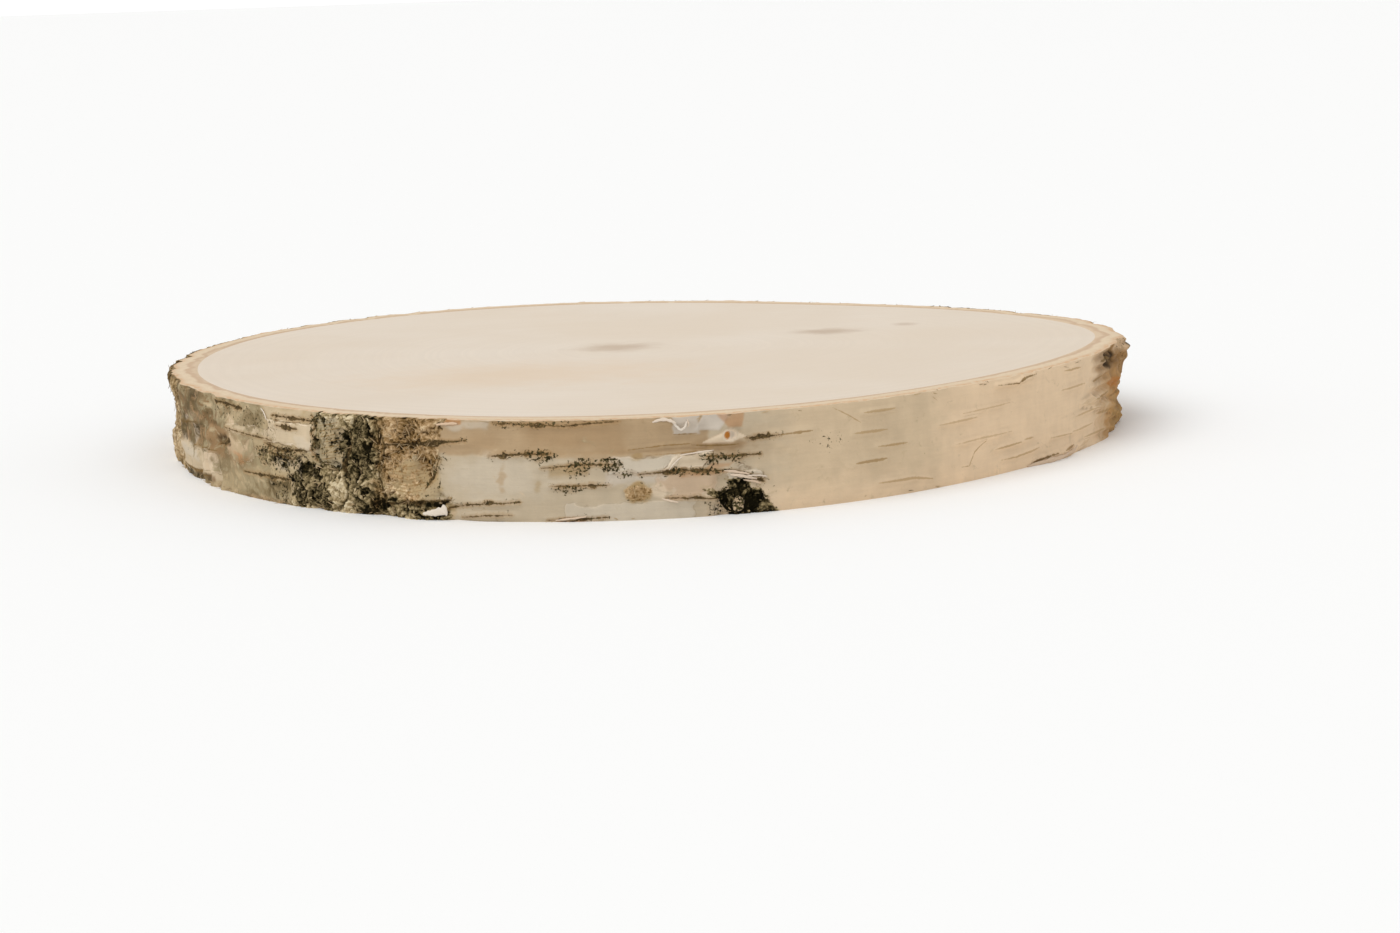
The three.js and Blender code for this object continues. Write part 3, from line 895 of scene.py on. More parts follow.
@dataclass
class BarkWall:
    """The bark: a ring with a fine outer wall, two sawn rims and the wall it shares with the wood.

    It is built as three arcs, each a closed piece, which meet in the crust.
    """

    packed: PackedWall
    material: Material
    arcs: tuple[str, ...] = ("bark_front", "bark_back", "bark_left")
    first_seam: float = -117.5
    columns: int = 3078
    rows: int = 78
    folds: int = 3
    ring_front: float = 7.8
    ring_back: float = 6.2
    ring_smooth: float = 13.5
    rim_steps: tuple[float, ...] = (0.05, 0.18, 0.4, 0.66, 0.9)
    groove: float = 0.15
    chip: float = 0.4
    chip_reach: float = 1.1
    edge_fade: float = 9.0
    lobe: tuple[float, float, float] = (15.0, 24.0, 2.4)
    shoulder: tuple[float, float, float] = (-1.0, 9.0, 1.3)
    plate_size: Pair = (5.0, 9.0)
    plate_rise: float = 0.9
    crumb_size: Pair = (1.7, 1.5)
    crumb_rise: float = 0.5
    grit_size: Pair = (0.9, 0.8)
    grit_rise: float = 0.3
    fibre_size: Pair = (3.4, 0.6)
    fibre_rise: float = 0.3
    sway: float = 6.0
    sway_size: Pair = (5.0, 4.0)
    twist: float = 1.8
    twist_size: Pair = (1.3, 1.1)
    drift_size: Pair = (9.0, 7.0)
    paper_rise: float = 0.12
    ripple_size: Pair = (16.0, 2.8)
    nibble_size: Pair = (3.5, 9.0)
    nick_size: Pair = (2.4, 9.0)
    ring_drift: Pair = (60.0, 9.0)
    ring_sway: float = 1.2
    cavity_depth: float = 0.6
    spread: tuple[int, int] = (6, 4)
    edge_wander: Pair = (4.2, 2.6)
    edge_kinds: int = 5
    bead_size: Pair = (2.0, 3.0)
    bead_swell: float = 1.35
    bead_pinch: float = 0.5
    slit_reach: float = 4.0
    slit_end: float = 0.2
    slit_swell: float = 0.9
    slit_margin: float = 0.8
    slit_moss: float = 0.4
    slit_depth: float = 0.5
    groove_reach: Pair = (0.15, 0.3)
    lip_reach: Pair = (0.5, 0.6)
    moss_reach: Pair = (1.3, 0.8)
    layer_fade: float = 3.0
    torn_fade: float = 0.5
    cavity_fade: float = 1.0
    map_gutter: float = 0.006
    map_hidden: float = 3.0
    sharp_edge: float = 70.0
    seed: int = 2026
    eye: BranchEye = BranchEye()
    tint: CrustShade = CrustShade()

    def __post_init__(self) -> None:
        """Works out the wall's places, layers, paint and relief."""
        self.mean_radius = self.packed.mean_radius
        self.grain = Grain(2 * math.pi * self.mean_radius)
        self.degrees = self.first_seam + 360 * np.arange(self.columns) / self.columns
        self.heights = np.linspace(0, THICKNESS, self.rows + 1)
        self.place = self.arc, self.height = np.meshgrid(self.arc_at(self.degrees), self.heights)
        self.edge_place = self.arc[0], self.height[0]
        shape = self.arc.shape
        self.layers = {layer: np.zeros(shape) for layer in Layer}
        self.paint = np.broadcast_to(COOL.linear(), (*shape, 3)).copy()
        self.lift = np.zeros(shape)
        self.tear, self.torn = np.full(shape, FAR), np.zeros(shape)
        self._lay_patches()
        self._score_slits()
        self._raise()

    def arc_at(self, degrees: Array | float) -> Array | float:
        """Length along the bark from angle 0."""
        return np.radians(degrees) * self.mean_radius

    def aside(self, degrees: float) -> Array:
        """How far every column lies along the bark from one angle, the short way round."""
        girth = self.grain.girth
        return (self.arc[0] - self.arc_at(degrees) + girth / 2) % girth - girth / 2

    def near(self, degrees: float, reach: float) -> Array:
        """Numbers of the columns that lie within a reach, along the bark, of one angle."""
        return np.flatnonzero(np.abs(self.aside(degrees)) <= reach)

    def _lay_patches(self) -> None:
        """Lays the patches of the front in order, and those that the back repeats."""
        seeds = self.seed + 60 + np.arange(self.edge_kinds)
        wander = [2 * self.grain.fractal(self.place, self.edge_wander, seed) - 1 for seed in seeds]
        for number, patch in enumerate(with_echoes(PATCHES)):
            self._lay(patch, wander[number % len(wander)])
        columns = self.near(self.eye.at, self.eye.reach)
        place = self.aside(self.eye.at)[columns], self.height[:, columns] - self.eye.height
        self.paint[:, columns] = self.eye.tint(place, self.paint[:, columns])

    def _lay(self, patch: Patch, wander: Array) -> None:
        """Lays one patch: its lift, its torn border, and its paint or layer.

        Args:
            patch: The patch.
            wander: Noise from -1 to 1 over the wall, which moves its edge.
        """
        wide, tall = self.arc_at((patch.end - patch.start) / 2), (patch.high - patch.low) / 2
        reach = wide * (1 + abs(patch.taper)) + abs(self.arc_at(patch.lean)) * THICKNESS + 1
        reach += (patch.soft + patch.ragged) * max(1, wide / tall)
        columns = self.near(patch.anchor, reach)
        inward = self._inward(patch, wide, tall, columns) + patch.ragged * wander[:, columns]
        cover = smoothstep(-patch.soft, patch.soft, inward)
        self.lift[:, columns] += patch.lift * cover
        if patch.torn:
            closer = np.abs(inward) < np.abs(self.tear[:, columns])
            self.tear[:, columns] = np.where(closer, inward, self.tear[:, columns])
            self.torn[:, columns] = np.where(closer, patch.torn, self.torn[:, columns])
        if isinstance(patch.what, Tone):
            share = (patch.strength * cover)[..., None]
            self.paint[:, columns] += share * (patch.what.linear() - self.paint[:, columns])
        else:
            layer = self.layers[patch.what]
            under, laid = layer[:, columns], patch.strength * cover
            layer[:, columns] = under * (1 + laid) if patch.strength < 0 else np.maximum(under, laid)

    def _inward(self, patch: Patch, wide: float, tall: float, columns: Array) -> Array:
        """How far places lie inside a patch, in millimetres, before its edge wanders.

        In a block it is the lesser distance to a side or to the top or foot, and in a blob 1 minus the
        ellipse's distance, times the lesser half size.

        Args:
            patch: The patch.
            wide: Half its width along the bark.
            tall: Half its height.
            columns: The columns that are looked at.

        Returns:
            The distance, below 0 outside the patch.
        """
        above = self.height[:, columns] - (patch.low + patch.high) / 2
        aside = self.aside(patch.anchor)[columns] - self.arc_at(patch.lean) * above
        wide = wide * (1 + patch.taper * np.clip(above / tall, -1, 1))
        if patch.outline is Outline.BLOB:
            return (1 - np.hypot(aside / wide, above / tall)) * np.minimum(wide, tall)
        return np.minimum(wide - np.abs(aside), tall - np.abs(above))

    def _score_slits(self) -> None:
        """Scores every slit, of the front and of the back, into the wall.

        For every place it keeps the distance from the nearest slit's line and that slit's half thickness.
        The distance is signed, so that it stays true between vertices where a slit is thinner than the
        grid. Past a slit's ends, and well to its sides, the half thickness falls below 0.
        """
        shape = self.arc.shape
        self.nearest = np.full(shape, np.inf)
        self.slit_offset, self.slit_half = np.full(shape, FAR), np.full(shape, -FAR)
        self.slit_tone = np.zeros(shape)
        self.beads = smoothstep(0.4, 0.85, self.grain.value(self.place, self.bead_size, self.seed + 5))
        for slit in with_echoes(SLITS):
            for start, end in zip(slit.points[:-1], slit.points[1:]):
                self._score(slit, start, end)

    def _score(self, slit: Slit, start: Pair, end: Pair) -> None:
        """Scores one straight run of a slit, beaded where it is dark.

        A slit's thickness grows to its middle, as 4 times the share of its length times the rest.

        Args:
            slit: The slit.
            start: Angle and height where the run starts.
            end: Angle and height where it ends.
        """
        run, rise = self.arc_at(end[0] - start[0]), end[1] - start[1]
        columns = self.near((start[0] + end[0]) / 2, abs(run) / 2 + self.slit_reach)
        length = math.hypot(run, rise)
        aside, above = self.aside(start[0])[columns], self.height[:, columns] - start[1]
        along = (aside * run + above * rise) / length
        offset = (above * run - aside * rise) / length
        beyond = np.maximum(np.maximum(-along, along - length), 0)
        first, last = slit.points[0], slit.points[-1]
        whole = abs(self.arc_at(last[0] - first[0])) + abs(last[1] - first[1])
        gone = abs(self.arc_at(start[0] - first[0])) + abs(start[1] - first[1])
        share = np.clip((gone + np.clip(along, 0, length)) / whole, 0, 1)
        taper = 4 * share * (1 - share)
        beading = 1 + slit.tone * (self.bead_swell * self.beads[:, columns] - self.bead_pinch)
        half = slit.thick / 2 * (self.slit_end + self.slit_swell * taper) * beading - beyond
        half -= 2 * np.maximum(np.abs(offset) - slit.thick / 2 - self.slit_margin, 0)
        cost = np.hypot(offset, beyond)
        closer = cost < self.nearest[:, columns]
        for field, value in (
            (self.nearest, cost),
            (self.slit_offset, np.clip(offset, -FAR, FAR)),
            (self.slit_half, np.maximum(half, -FAR)),
            (self.slit_tone, slit.tone),
        ):
            field[:, columns] = np.where(closer, value, field[:, columns])
        edge = np.maximum(np.abs(offset) - slit.thick / 2, 0)
        hollow = bell(offset, slit.thick / 2 + self.groove_reach[0]) * bell(beyond, self.groove_reach[1])
        lips = bell(edge, self.lip_reach[0]) * bell(beyond, self.lip_reach[1])
        self.lift[:, columns] += slit.lip * lips - slit.tone * slit.thick * self.slit_depth * hollow
        moss = self.layers[MOSS]
        around = bell(offset, self.moss_reach[0]) * bell(beyond, self.moss_reach[1])
        halo = self.slit_moss * slit.tone**3 * around
        moss[:, columns] = np.maximum(moss[:, columns], halo)

    def _crumble(self) -> Array:
        """The crust's relief, and its shade from 0, black, to 1, pale, which is kept for the finish.

        Places are swayed by noise first, so that no straight border shows. Plates and crumbs are cells
        whose borders are cracks, which the shade darkens as painted shade, and grit is noise. Where the crust
        is brown, level fibres that the sway bends take over from the crumbs.

        Returns:
            How far the crust stands proud.
        """
        grain, place, seed = self.grain, self.place, self.seed
        brown, moss = self.layers[BROWN], self.layers[MOSS]
        aside, upward = (
            self.sway * (grain.fractal(place, self.sway_size, seed + swayed) - 0.5)
            + self.twist * (grain.fractal(place, self.twist_size, seed + twisted) - 0.5)
            for swayed, twisted in ((11, 71), (17, 72))
        )
        swayed = (self.arc + aside, self.height + upward)
        plate, plate_tone = grain.cells(swayed, self.plate_size, seed + 23)
        crumb, crumb_tone = grain.cells(swayed, self.crumb_size, seed + 29)
        grit = grain.fractal(swayed, self.grit_size, seed + 37) - 0.5
        fibre = grain.value((self.arc + aside, self.height + 2 * upward), self.fibre_size, seed + 43) - 0.5
        drift = grain.fractal(place, self.drift_size, seed + 47) - 0.5
        crumbly, bare = 1 - 0.8 * brown, 1 - 0.8 * moss
        solid, lump = smoothstep(0.02, 0.28, plate), smoothstep(0, 0.5, crumb)
        tint = self.tint
        self.shade = tint.plain - tint.brown * brown + tint.drift * drift + tint.grit * grit
        self.shade += tint.fibre * brown * fibre
        self.shade += crumbly * (tint.crumb * (crumb_tone - 0.5) + tint.plate * (plate_tone - 0.5))
        # Painted shade: cracks between plates and gaps between crumbs are darkened, less so under moss.
        self.shade -= crumbly * (tint.crack * bare * (1 - solid) + tint.gap * (1 - lump))
        self.shade -= tint.moss * moss + tint.thick_moss * moss**4
        crumbs = self.crumb_rise * (lump * (0.6 + 0.8 * crumb_tone) - 0.6)
        plates = self.plate_rise * (solid - 0.75) * (0.35 + 0.65 * crumbly) * bare
        return plates + crumbly * crumbs + 2 * self.grit_rise * grit + 2 * self.fibre_rise * brown * fibre

    def _raise(self) -> None:
        """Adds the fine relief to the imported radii, and works out the line where bark meets wood.

        The fine relief is the crust's crumbs by its layer, level ripples by the rest, what patches and
        slits lift, and the eye, less nibbles at the sawn edges.
        """
        crust = self.layers[CRUST]
        ripple = self.grain.fractal(self.place, self.ripple_size, self.seed + 31) - 0.5
        eye = self.eye.relief((self.aside(self.eye.at), self.height - self.eye.height))
        fine = crust * self._crumble() + (1 - crust) * (2 * self.paper_rise * ripple) + self.lift + eye
        near_edge = np.minimum(self.height, THICKNESS - self.height)
        nibble = self.grain.fractal(self.place, self.nibble_size, self.seed + 41)
        fine -= self.chip * nibble * (0.5 + crust) * (1 - smoothstep(0, self.chip_reach, near_edge))
        packed = self.packed.radius(self.degrees, self.heights)
        self.radius = packed + fine + self._hump(self.lobe) * self.height / THICKNESS
        nicks = self.chip * self.grain.fractal(self.edge_place, self.nick_size, self.seed + 53)
        self.sunk = nicks + self._hump(self.shoulder)
        # Cavity is how far a place lies below its neighbours; the bark's finish darkens it as painted shade
        # in hollows.
        self.cavity = np.clip((self._spread(fine) - fine) / self.cavity_depth, -1, 1)
        reach = round(self.ring_smooth / 360 * self.columns)
        window = np.bartlett(2 * reach + 1)
        around = np.pad(packed.mean(axis=0), reach, mode="wrap")
        steady = np.convolve(around, window / window.sum(), mode="valid")
        front = (1 - np.sin(np.radians(self.degrees))) / 2
        drift = self.grain.value(self.edge_place, self.ring_drift, self.seed + 47) - 0.5
        self.cambium = steady - self.ring_back - (self.ring_front - self.ring_back) * front
        self.cambium += self.ring_sway * drift

    def _hump(self, place: tuple[float, float, float]) -> Array:
        """A rounded hump along the bark, from its angle, its reach and its size."""
        return place[2] * bell(self.aside(place[0]), place[1])

    def _spread(self, field: Array) -> Array:
        """A field averaged over its neighbours, along the bark and then up it.

        Args:
            field: Numbers over the wall.

        Returns:
            The averages.
        """
        reach, over = self.spread
        level = np.mean([np.roll(field, k, axis=1) for k in range(-reach, reach + 1)], axis=0)
        padded = np.pad(level, ((over, over), (0, 0)), mode="edge")
        return np.mean([padded[k : k + len(field)] for k in range(2 * over + 1)], axis=0)

    def column_at(self, degrees: Array) -> Array:
        """Numbers of the columns nearest to some angles."""
        return np.round((degrees - self.first_seam) / 360 * self.columns).astype(int) % self.columns

    def wall_radius(self, degrees: Array, heights: Array) -> Array:
        """The finished wall's radius at some points, read from its nearest column and row."""
        row = np.clip(np.round(heights / THICKNESS * self.rows), 0, self.rows).astype(int)
        return self.radius[row, self.column_at(degrees)]

    def settled(self, degrees: Array, heights: Array) -> Array:
        """Heights once the wall's upper edge has sunk: less the drop times the share of height to the 8th."""
        return heights - self.sunk[self.column_at(degrees)] * (heights / THICKNESS) ** 8

    def _section(self) -> tuple[Array, Array, Array]:
        """The ring's section: up the outer wall, in over the top, down the cambium and out underneath.

        Returns:
            Radius, height, and depth under the skin, each with a row for every station of the section.
        """
        steps = np.array(self.rim_steps)[:, None]
        top, foot = self.radius[-1], self.radius[0]
        rim = top + (self.cambium - top) * steps
        sole = foot + (self.cambium - foot) * steps[::-1]
        edge_drop = self.sunk * np.exp(-steps * self.edge_fade)
        level = THICKNESS * np.ones_like(top)
        wall_height = self.settled(self.degrees, self.height)
        foot_level = np.full_like(top, self.groove)
        radius = np.vstack([self.radius, rim, self.cambium, self.cambium, sole])
        height = np.vstack([wall_height, level - edge_drop, level - self.groove, foot_level, 0 * edge_drop])
        inner = [top - rim, top - self.cambium, foot - self.cambium, foot - sole]
        return radius, height, np.vstack([0 * self.radius, *inner])

    def _over_rims(self, field: Array, depth: Array, fade: float = math.inf) -> Array:
        """Carries a field of the wall on over the top rim and the foot's, where it may fade with depth."""
        wall, rim = range(self.rows + 1), range(len(self.rim_steps) + 1)
        return field[[*wall, *(-1 for _ in rim), *(0 for _ in rim)]] * (1 - smoothstep(0, fade, depth))

    def build(self) -> None:
        """Makes the arcs of bark, with their layers and traits stored on them."""
        radius, height, depth = self._section()
        points = around_axis(radius, np.radians(self.degrees), height)
        fade = self.layer_fade
        fields = {layer: self._over_rims(field, depth, fade) for layer, field in self.layers.items()}
        for trait, field, fade in (
            (Trait.SLIT_OFFSET, self.slit_offset, math.inf),
            (Trait.SLIT_HALF, self.slit_half, math.inf),
            (Trait.SLIT_TONE, self.slit_tone, math.inf),
            (Trait.TEAR, self.tear, math.inf),
            (Trait.TORN, self.torn, self.torn_fade),
            (Trait.SHADE, self.shade, math.inf),
            (Trait.CAVITY, self.cavity, self.cavity_fade),
        ):
            fields[trait] = self._over_rims(field, depth, fade)
        fields[Trait.SLIT_HALF] -= 2 * depth
        fields[Trait.DEPTH] = depth
        opaque = [*np.moveaxis(self.paint, -1, 0), np.ones_like(self.arc)]
        fields[Trait.PAINT] = np.stack([self._over_rims(channel, depth) for channel in opaque], axis=-1)
        long = self.columns // len(self.arcs)
        for number, name in enumerate(self.arcs):
            columns = np.arange(number * long, (number + 1) * long + 1) % self.columns
            piece = self._arc(name, points[:, columns])
            for kind, field in fields.items():
                store(piece, kind.value, field[:, columns])
            seat(piece, self.material)

    def _arc(self, name: str, points: Array) -> Piece:
        """One arc of the ring, with a flat face over the section at each end.

        Args:
            name: The piece's name.
            points: Its places, by station of the section and by column.

        Returns:
            The closed piece, with its flat map.
        """
        stations, columns = points.shape[:2]
        quads = grid_quads(stations, columns, close_rows=True, close_columns=False)
        start = columns * np.arange(stations)[None]
        end = start[:, ::-1] + columns - 1
        piece = mesh_object(name, points.reshape(-1, 3), quads, start, end)
        is_wall = np.arange(len(piece.data.polygons)) < len(quads)
        piece.data.polygons.foreach_set("use_smooth", is_wall)
        hidden = np.zeros((2 * stations, 2))
        store_map(piece, np.vstack([self._flat_map(columns - 1).reshape(-1, 2), hidden]))
        piece.data.set_sharp_from_angle(angle=math.radians(self.sharp_edge))
        return piece

    def _flat_map(self, columns: int) -> Array:
        """An arc unrolled and folded into a few rows, for every corner of every quad.

        Args:
            columns: How many columns of quads the arc has.

        Returns:
            Two numbers from 0 to 1 for each corner.
        """
        gutter, ring = self.map_gutter, (self.ring_front + self.ring_back) / 2
        steps = np.array(self.rim_steps)
        rim_end, inner_end = THICKNESS + ring, THICKNESS + ring + self.map_hidden
        sole = inner_end + ring * (1 - steps[::-1])
        run = [self.heights, THICKNESS + ring * steps, [rim_end, inner_end], sole, [inner_end + ring]]
        across = np.concatenate(run)
        across = gutter + (1 / self.folds - 2 * gutter) * across / across[-1]
        per_fold = columns // self.folds
        along = gutter + (1 - 2 * gutter) * np.arange(per_fold + 1) / per_fold
        column = np.arange(columns)
        fold, step = column // per_fold, column % per_fold
        u = np.stack([along[step], along[step + 1], along[step + 1], along[step]], axis=-1)
        v = np.stack([across[:-1], across[:-1], across[1:], across[1:]], axis=-1)
        u_all = np.broadcast_to(u[None], (len(v), columns, 4))
        v_all = v[:, None, :] + (fold / self.folds)[None, :, None]
        return np.stack([u_all, v_all], axis=-1)


@dataclass
class SawnWood:
    """The wood inside the bark: a closed disc with two sawn faces."""

    bark: BarkWall
    material: Material
    every: int = 6
    rings: int = 22
    map_reach: float = 0.288
    map_margin: float = 0.005
    strip_at: Pair = (0.62, 0.01)
    strip_scale: Pair = (0.05, 0.02)
    sharp_edge: float = 50.0

    def build(self) -> None:
        """Makes the wood piece: rings of points from the pith out over the top, and back under the foot."""
        bark = self.bark
        edge = bark.cambium[:: self.every]
        turn = np.radians(bark.degrees[:: self.every])
        share = (np.arange(1, self.rings + 1) / self.rings)[:, None]
        outward = share * edge
        radius = np.vstack([outward, outward[::-1]])
        level = np.full(outward.shape, THICKNESS)
        level[-1] -= bark.groove
        sole = np.zeros(outward.shape)
        sole[0] += bark.groove
        height = np.vstack([level, sole])
        rows, columns = radius.shape
        points = around_axis(radius, turn, height).reshape(-1, 3)
        poles = np.array([[0, 0, THICKNESS], [0, 0, 0]])
        quads = grid_quads(rows, columns, close_rows=False, close_columns=True)[:, ::-1]
        first = np.arange(columns)
        top_fan = fan(len(points), first)
        foot_fan = fan(len(points) + 1, first + (rows - 1) * columns)[:, [0, 2, 1]]
        everything = np.vstack([points, poles])
        piece = mesh_object("wood", everything, quads, top_fan, foot_fan)
        growth = np.vstack([share, share[::-1]]) * bark.mean_radius * np.ones(columns)
        store(piece, "growth", np.concatenate([growth.ravel(), [0, 0]]))
        store_map(piece, self._flat_map(everything, (quads, top_fan, foot_fan)))
        piece.data.set_sharp_from_angle(angle=math.radians(self.sharp_edge))
        seat(piece, self.material)

    def _flat_map(self, points: Array, faces: tuple[Array, ...]) -> Array:
        """Both faces laid flat, one in each of two corners, and the hidden edge as a strip in a third.

        Args:
            points: The disc's vertices.
            faces: Its faces, as arrays of vertex numbers.

        Returns:
            Two numbers from 0 to 1 for each corner.
        """
        reach, size = self.map_reach, self.bark.cambium.max()
        flat = []
        for block in faces:
            corner = points[block]
            top = (corner[..., 2] > THICKNESS / 2).all(axis=1)
            foot = (corner[..., 2] < THICKNESS / 2).all(axis=1)
            laid = corner[..., :2] / size * reach
            laid[top] += self.map_margin + reach
            laid[foot] += 1 - self.map_margin - reach
            side = ~(top | foot)
            turn = np.arctan2(corner[side][..., 1], corner[side][..., 0])
            turn = np.where(np.ptp(turn, axis=1, keepdims=True) > math.pi, turn % (2 * math.pi), turn)
            along = self.strip_scale[0] * (turn + math.pi)
            across = self.strip_scale[1] * corner[side][..., 2] / THICKNESS
            laid[side] = np.stack([along, across], axis=-1) + self.strip_at
            flat.append(laid.reshape(-1, 2))
        return np.concatenate(flat)


def swelling(share: Array) -> Array:
    """How wide a strip is along its length: the root of a sine, blunt at both ends and widest midway."""
    return np.sqrt(np.sin(math.pi * (0.06 + 0.88 * share)))


@dataclass
class Strips:
    """Thin closed strips, many at once: a flat oval section carried along a path of points.

    Paths and facings, the way the flat side looks, are arrays by strip, station and axis. Half widths and
    thicknesses are by strip and station.
    """

    spine: Array
    facing: Array
    left: Array
    right: Array
    thick: Array
    sides: int

    def points(self) -> Array:
        """Vertices of every strip: a pole, its rings of points, and a pole.

        A ring's point stands off the path by the cosine of its angle times the half width of that side,
        across the strip, and by the sine times half the thickness, along the facing.

        Returns:
            An array by strip, vertex and axis.
        """
        ahead = np.gradient(self.spine, axis=1)
        across = np.cross(ahead, self.facing)
        across /= np.linalg.norm(across, axis=-1, keepdims=True)
        angle = 2 * math.pi * np.arange(self.sides) / self.sides
        wide, flat = np.cos(angle), np.sin(angle) / 2
        half = np.where(wide > 0, self.right[..., None], self.left[..., None]) * wide
        rings = self.spine[:, :, None] + half[..., None] * across[:, :, None]
        rings = rings + (self.thick[..., None] * flat)[..., None] * self.facing[:, :, None]
        rings = rings.reshape(len(self.spine), -1, 3)
        return np.concatenate([self.spine[:, :1], rings, self.spine[:, -1:]], axis=1)

    def faces(self) -> tuple[Array, Array]:
        """The faces of every strip.

        Returns:
            Quads along the strips, and the fans that close their ends.
        """
        strips, stations = self.spine.shape[:2]
        count = stations * self.sides + 2
        quads = grid_quads(stations, self.sides, close_rows=False, close_columns=True) + 1
        first = 1 + np.arange(self.sides)
        root = fan(0, first)[:, [0, 2, 1]]
        tip = fan(count - 1, first + (stations - 1) * self.sides)
        shift = (count * np.arange(strips))[:, None, None]
        return (quads + shift).reshape(-1, 4), (np.vstack([root, tip]) + shift).reshape(-1, 3)

    def build(self, name: str, traits: dict[str, Array], material: Material) -> None:
        """Makes one piece of all the strips, which leaves the slice neither upwards nor downwards.

        Args:
            name: The piece's name.
            traits: Attributes, with one number for each strip.
            material: Their finish.
        """
        points = self.points()
        points[..., 2] = np.clip(points[..., 2], 0, THICKNESS)
        piece = mesh_object(name, points.reshape(-1, 3), *self.faces())
        for trait, values in traits.items():
            store(piece, trait, np.repeat(values, points.shape[1]))
        seat(piece, material)


@dataclass
class Curls:
    """Slivers rooted in the bark that curl away from it.

    Every field but the last two holds one number for each sliver: where it is rooted, its length, width
    and thickness, the way it runs (degrees from level), how far it curls (degrees), and how clear of the
    bark its root is.
    """

    at: Array
    height: Array
    length: Array
    width: Array
    thick: Array
    run: Array
    curl: Array
    lift: Array
    stations: int = 4
    sides: int = 5

    def strips(self, bark: BarkWall) -> Strips:
        """The slivers' paths and sections.

        A path bends evenly, so that after a share s of its length it has turned by s times curl.

        Args:
            bark: What the slivers are rooted in.

        Returns:
            The strips, ready to build.
        """
        root = bark.wall_radius(self.at, self.height) + self.lift
        height = bark.settled(self.at, self.height)
        turn, run, curl, length, root, height = (
            values[:, None, None]
            for values in (*np.radians([self.at, self.run, self.curl]), self.length, root, height)
        )
        outward = np.concatenate([np.cos(turn), np.sin(turn), 0 * turn], axis=-1)
        level = np.concatenate([-np.sin(turn), np.cos(turn), 0 * turn], axis=-1)
        upward = np.array([0.0, 0.0, 1.0])
        ahead = np.cos(run) * level + np.sin(run) * upward
        share = np.linspace(0, 1, self.stations)[None, :, None]
        forward, clear = length * np.sin(curl * share) / curl, length * (1 - np.cos(curl * share)) / curl
        spine = outward * root + upward * height + ahead * forward + outward * clear
        facing = np.cos(curl * share) * outward - np.sin(curl * share) * ahead
        swell = swelling(share[..., 0])
        half = self.width[:, None] / 2 * swell
        return Strips(spine, facing, half, half, self.thick[:, None] * swell, self.sides)


@dataclass
class CrustFlakes:
    """Small scales that stand out of the crumbly crust, strewn at random and kept where it is thick."""

    bark: BarkWall
    material: Material
    tries: int = 6000
    most_kept: float = 0.9
    size: Pair = (0.5, 1.5)
    slimness: Pair = (0.4, 0.9)
    thick: Pair = (0.2, 0.4)
    curl: Pair = (15.0, 70.0)
    lift: Pair = (-0.2, 0.05)
    lighter: Pair = (0.04, 0.12)
    clear_of_edges: float = 0.8
    seed: int = 83

    def build(self) -> None:
        """Makes the flakes."""
        bark, draw = self.bark, np.random.default_rng(self.seed)
        column, row = draw.integers(0, bark.columns, self.tries), draw.integers(1, bark.rows, self.tries)
        crumbly = bark.layers[CRUST] * (1 - 0.8 * bark.layers[BROWN])
        kept = draw.random(self.tries) < self.most_kept * crumbly[row, column] ** 2
        column, row = column[kept], row[kept]
        count = len(column)
        size = draw.uniform(*self.size, count)
        curls = Curls(
            at=bark.degrees[column],
            height=np.clip(bark.heights[row], self.clear_of_edges, THICKNESS - self.clear_of_edges),
            length=size,
            width=size * draw.uniform(*self.slimness, count),
            thick=draw.uniform(*self.thick, count),
            run=draw.uniform(0, 360, count),
            curl=draw.uniform(*self.curl, count),
            lift=draw.uniform(*self.lift, count),
        )
        shade = bark.shade[row, column] + draw.normal(*self.lighter, count)
        traits = {Trait.SHADE.value: shade, BROWN.value: bark.layers[BROWN][row, column]}
        curls.strips(bark).build("crust_flakes", traits, self.material)


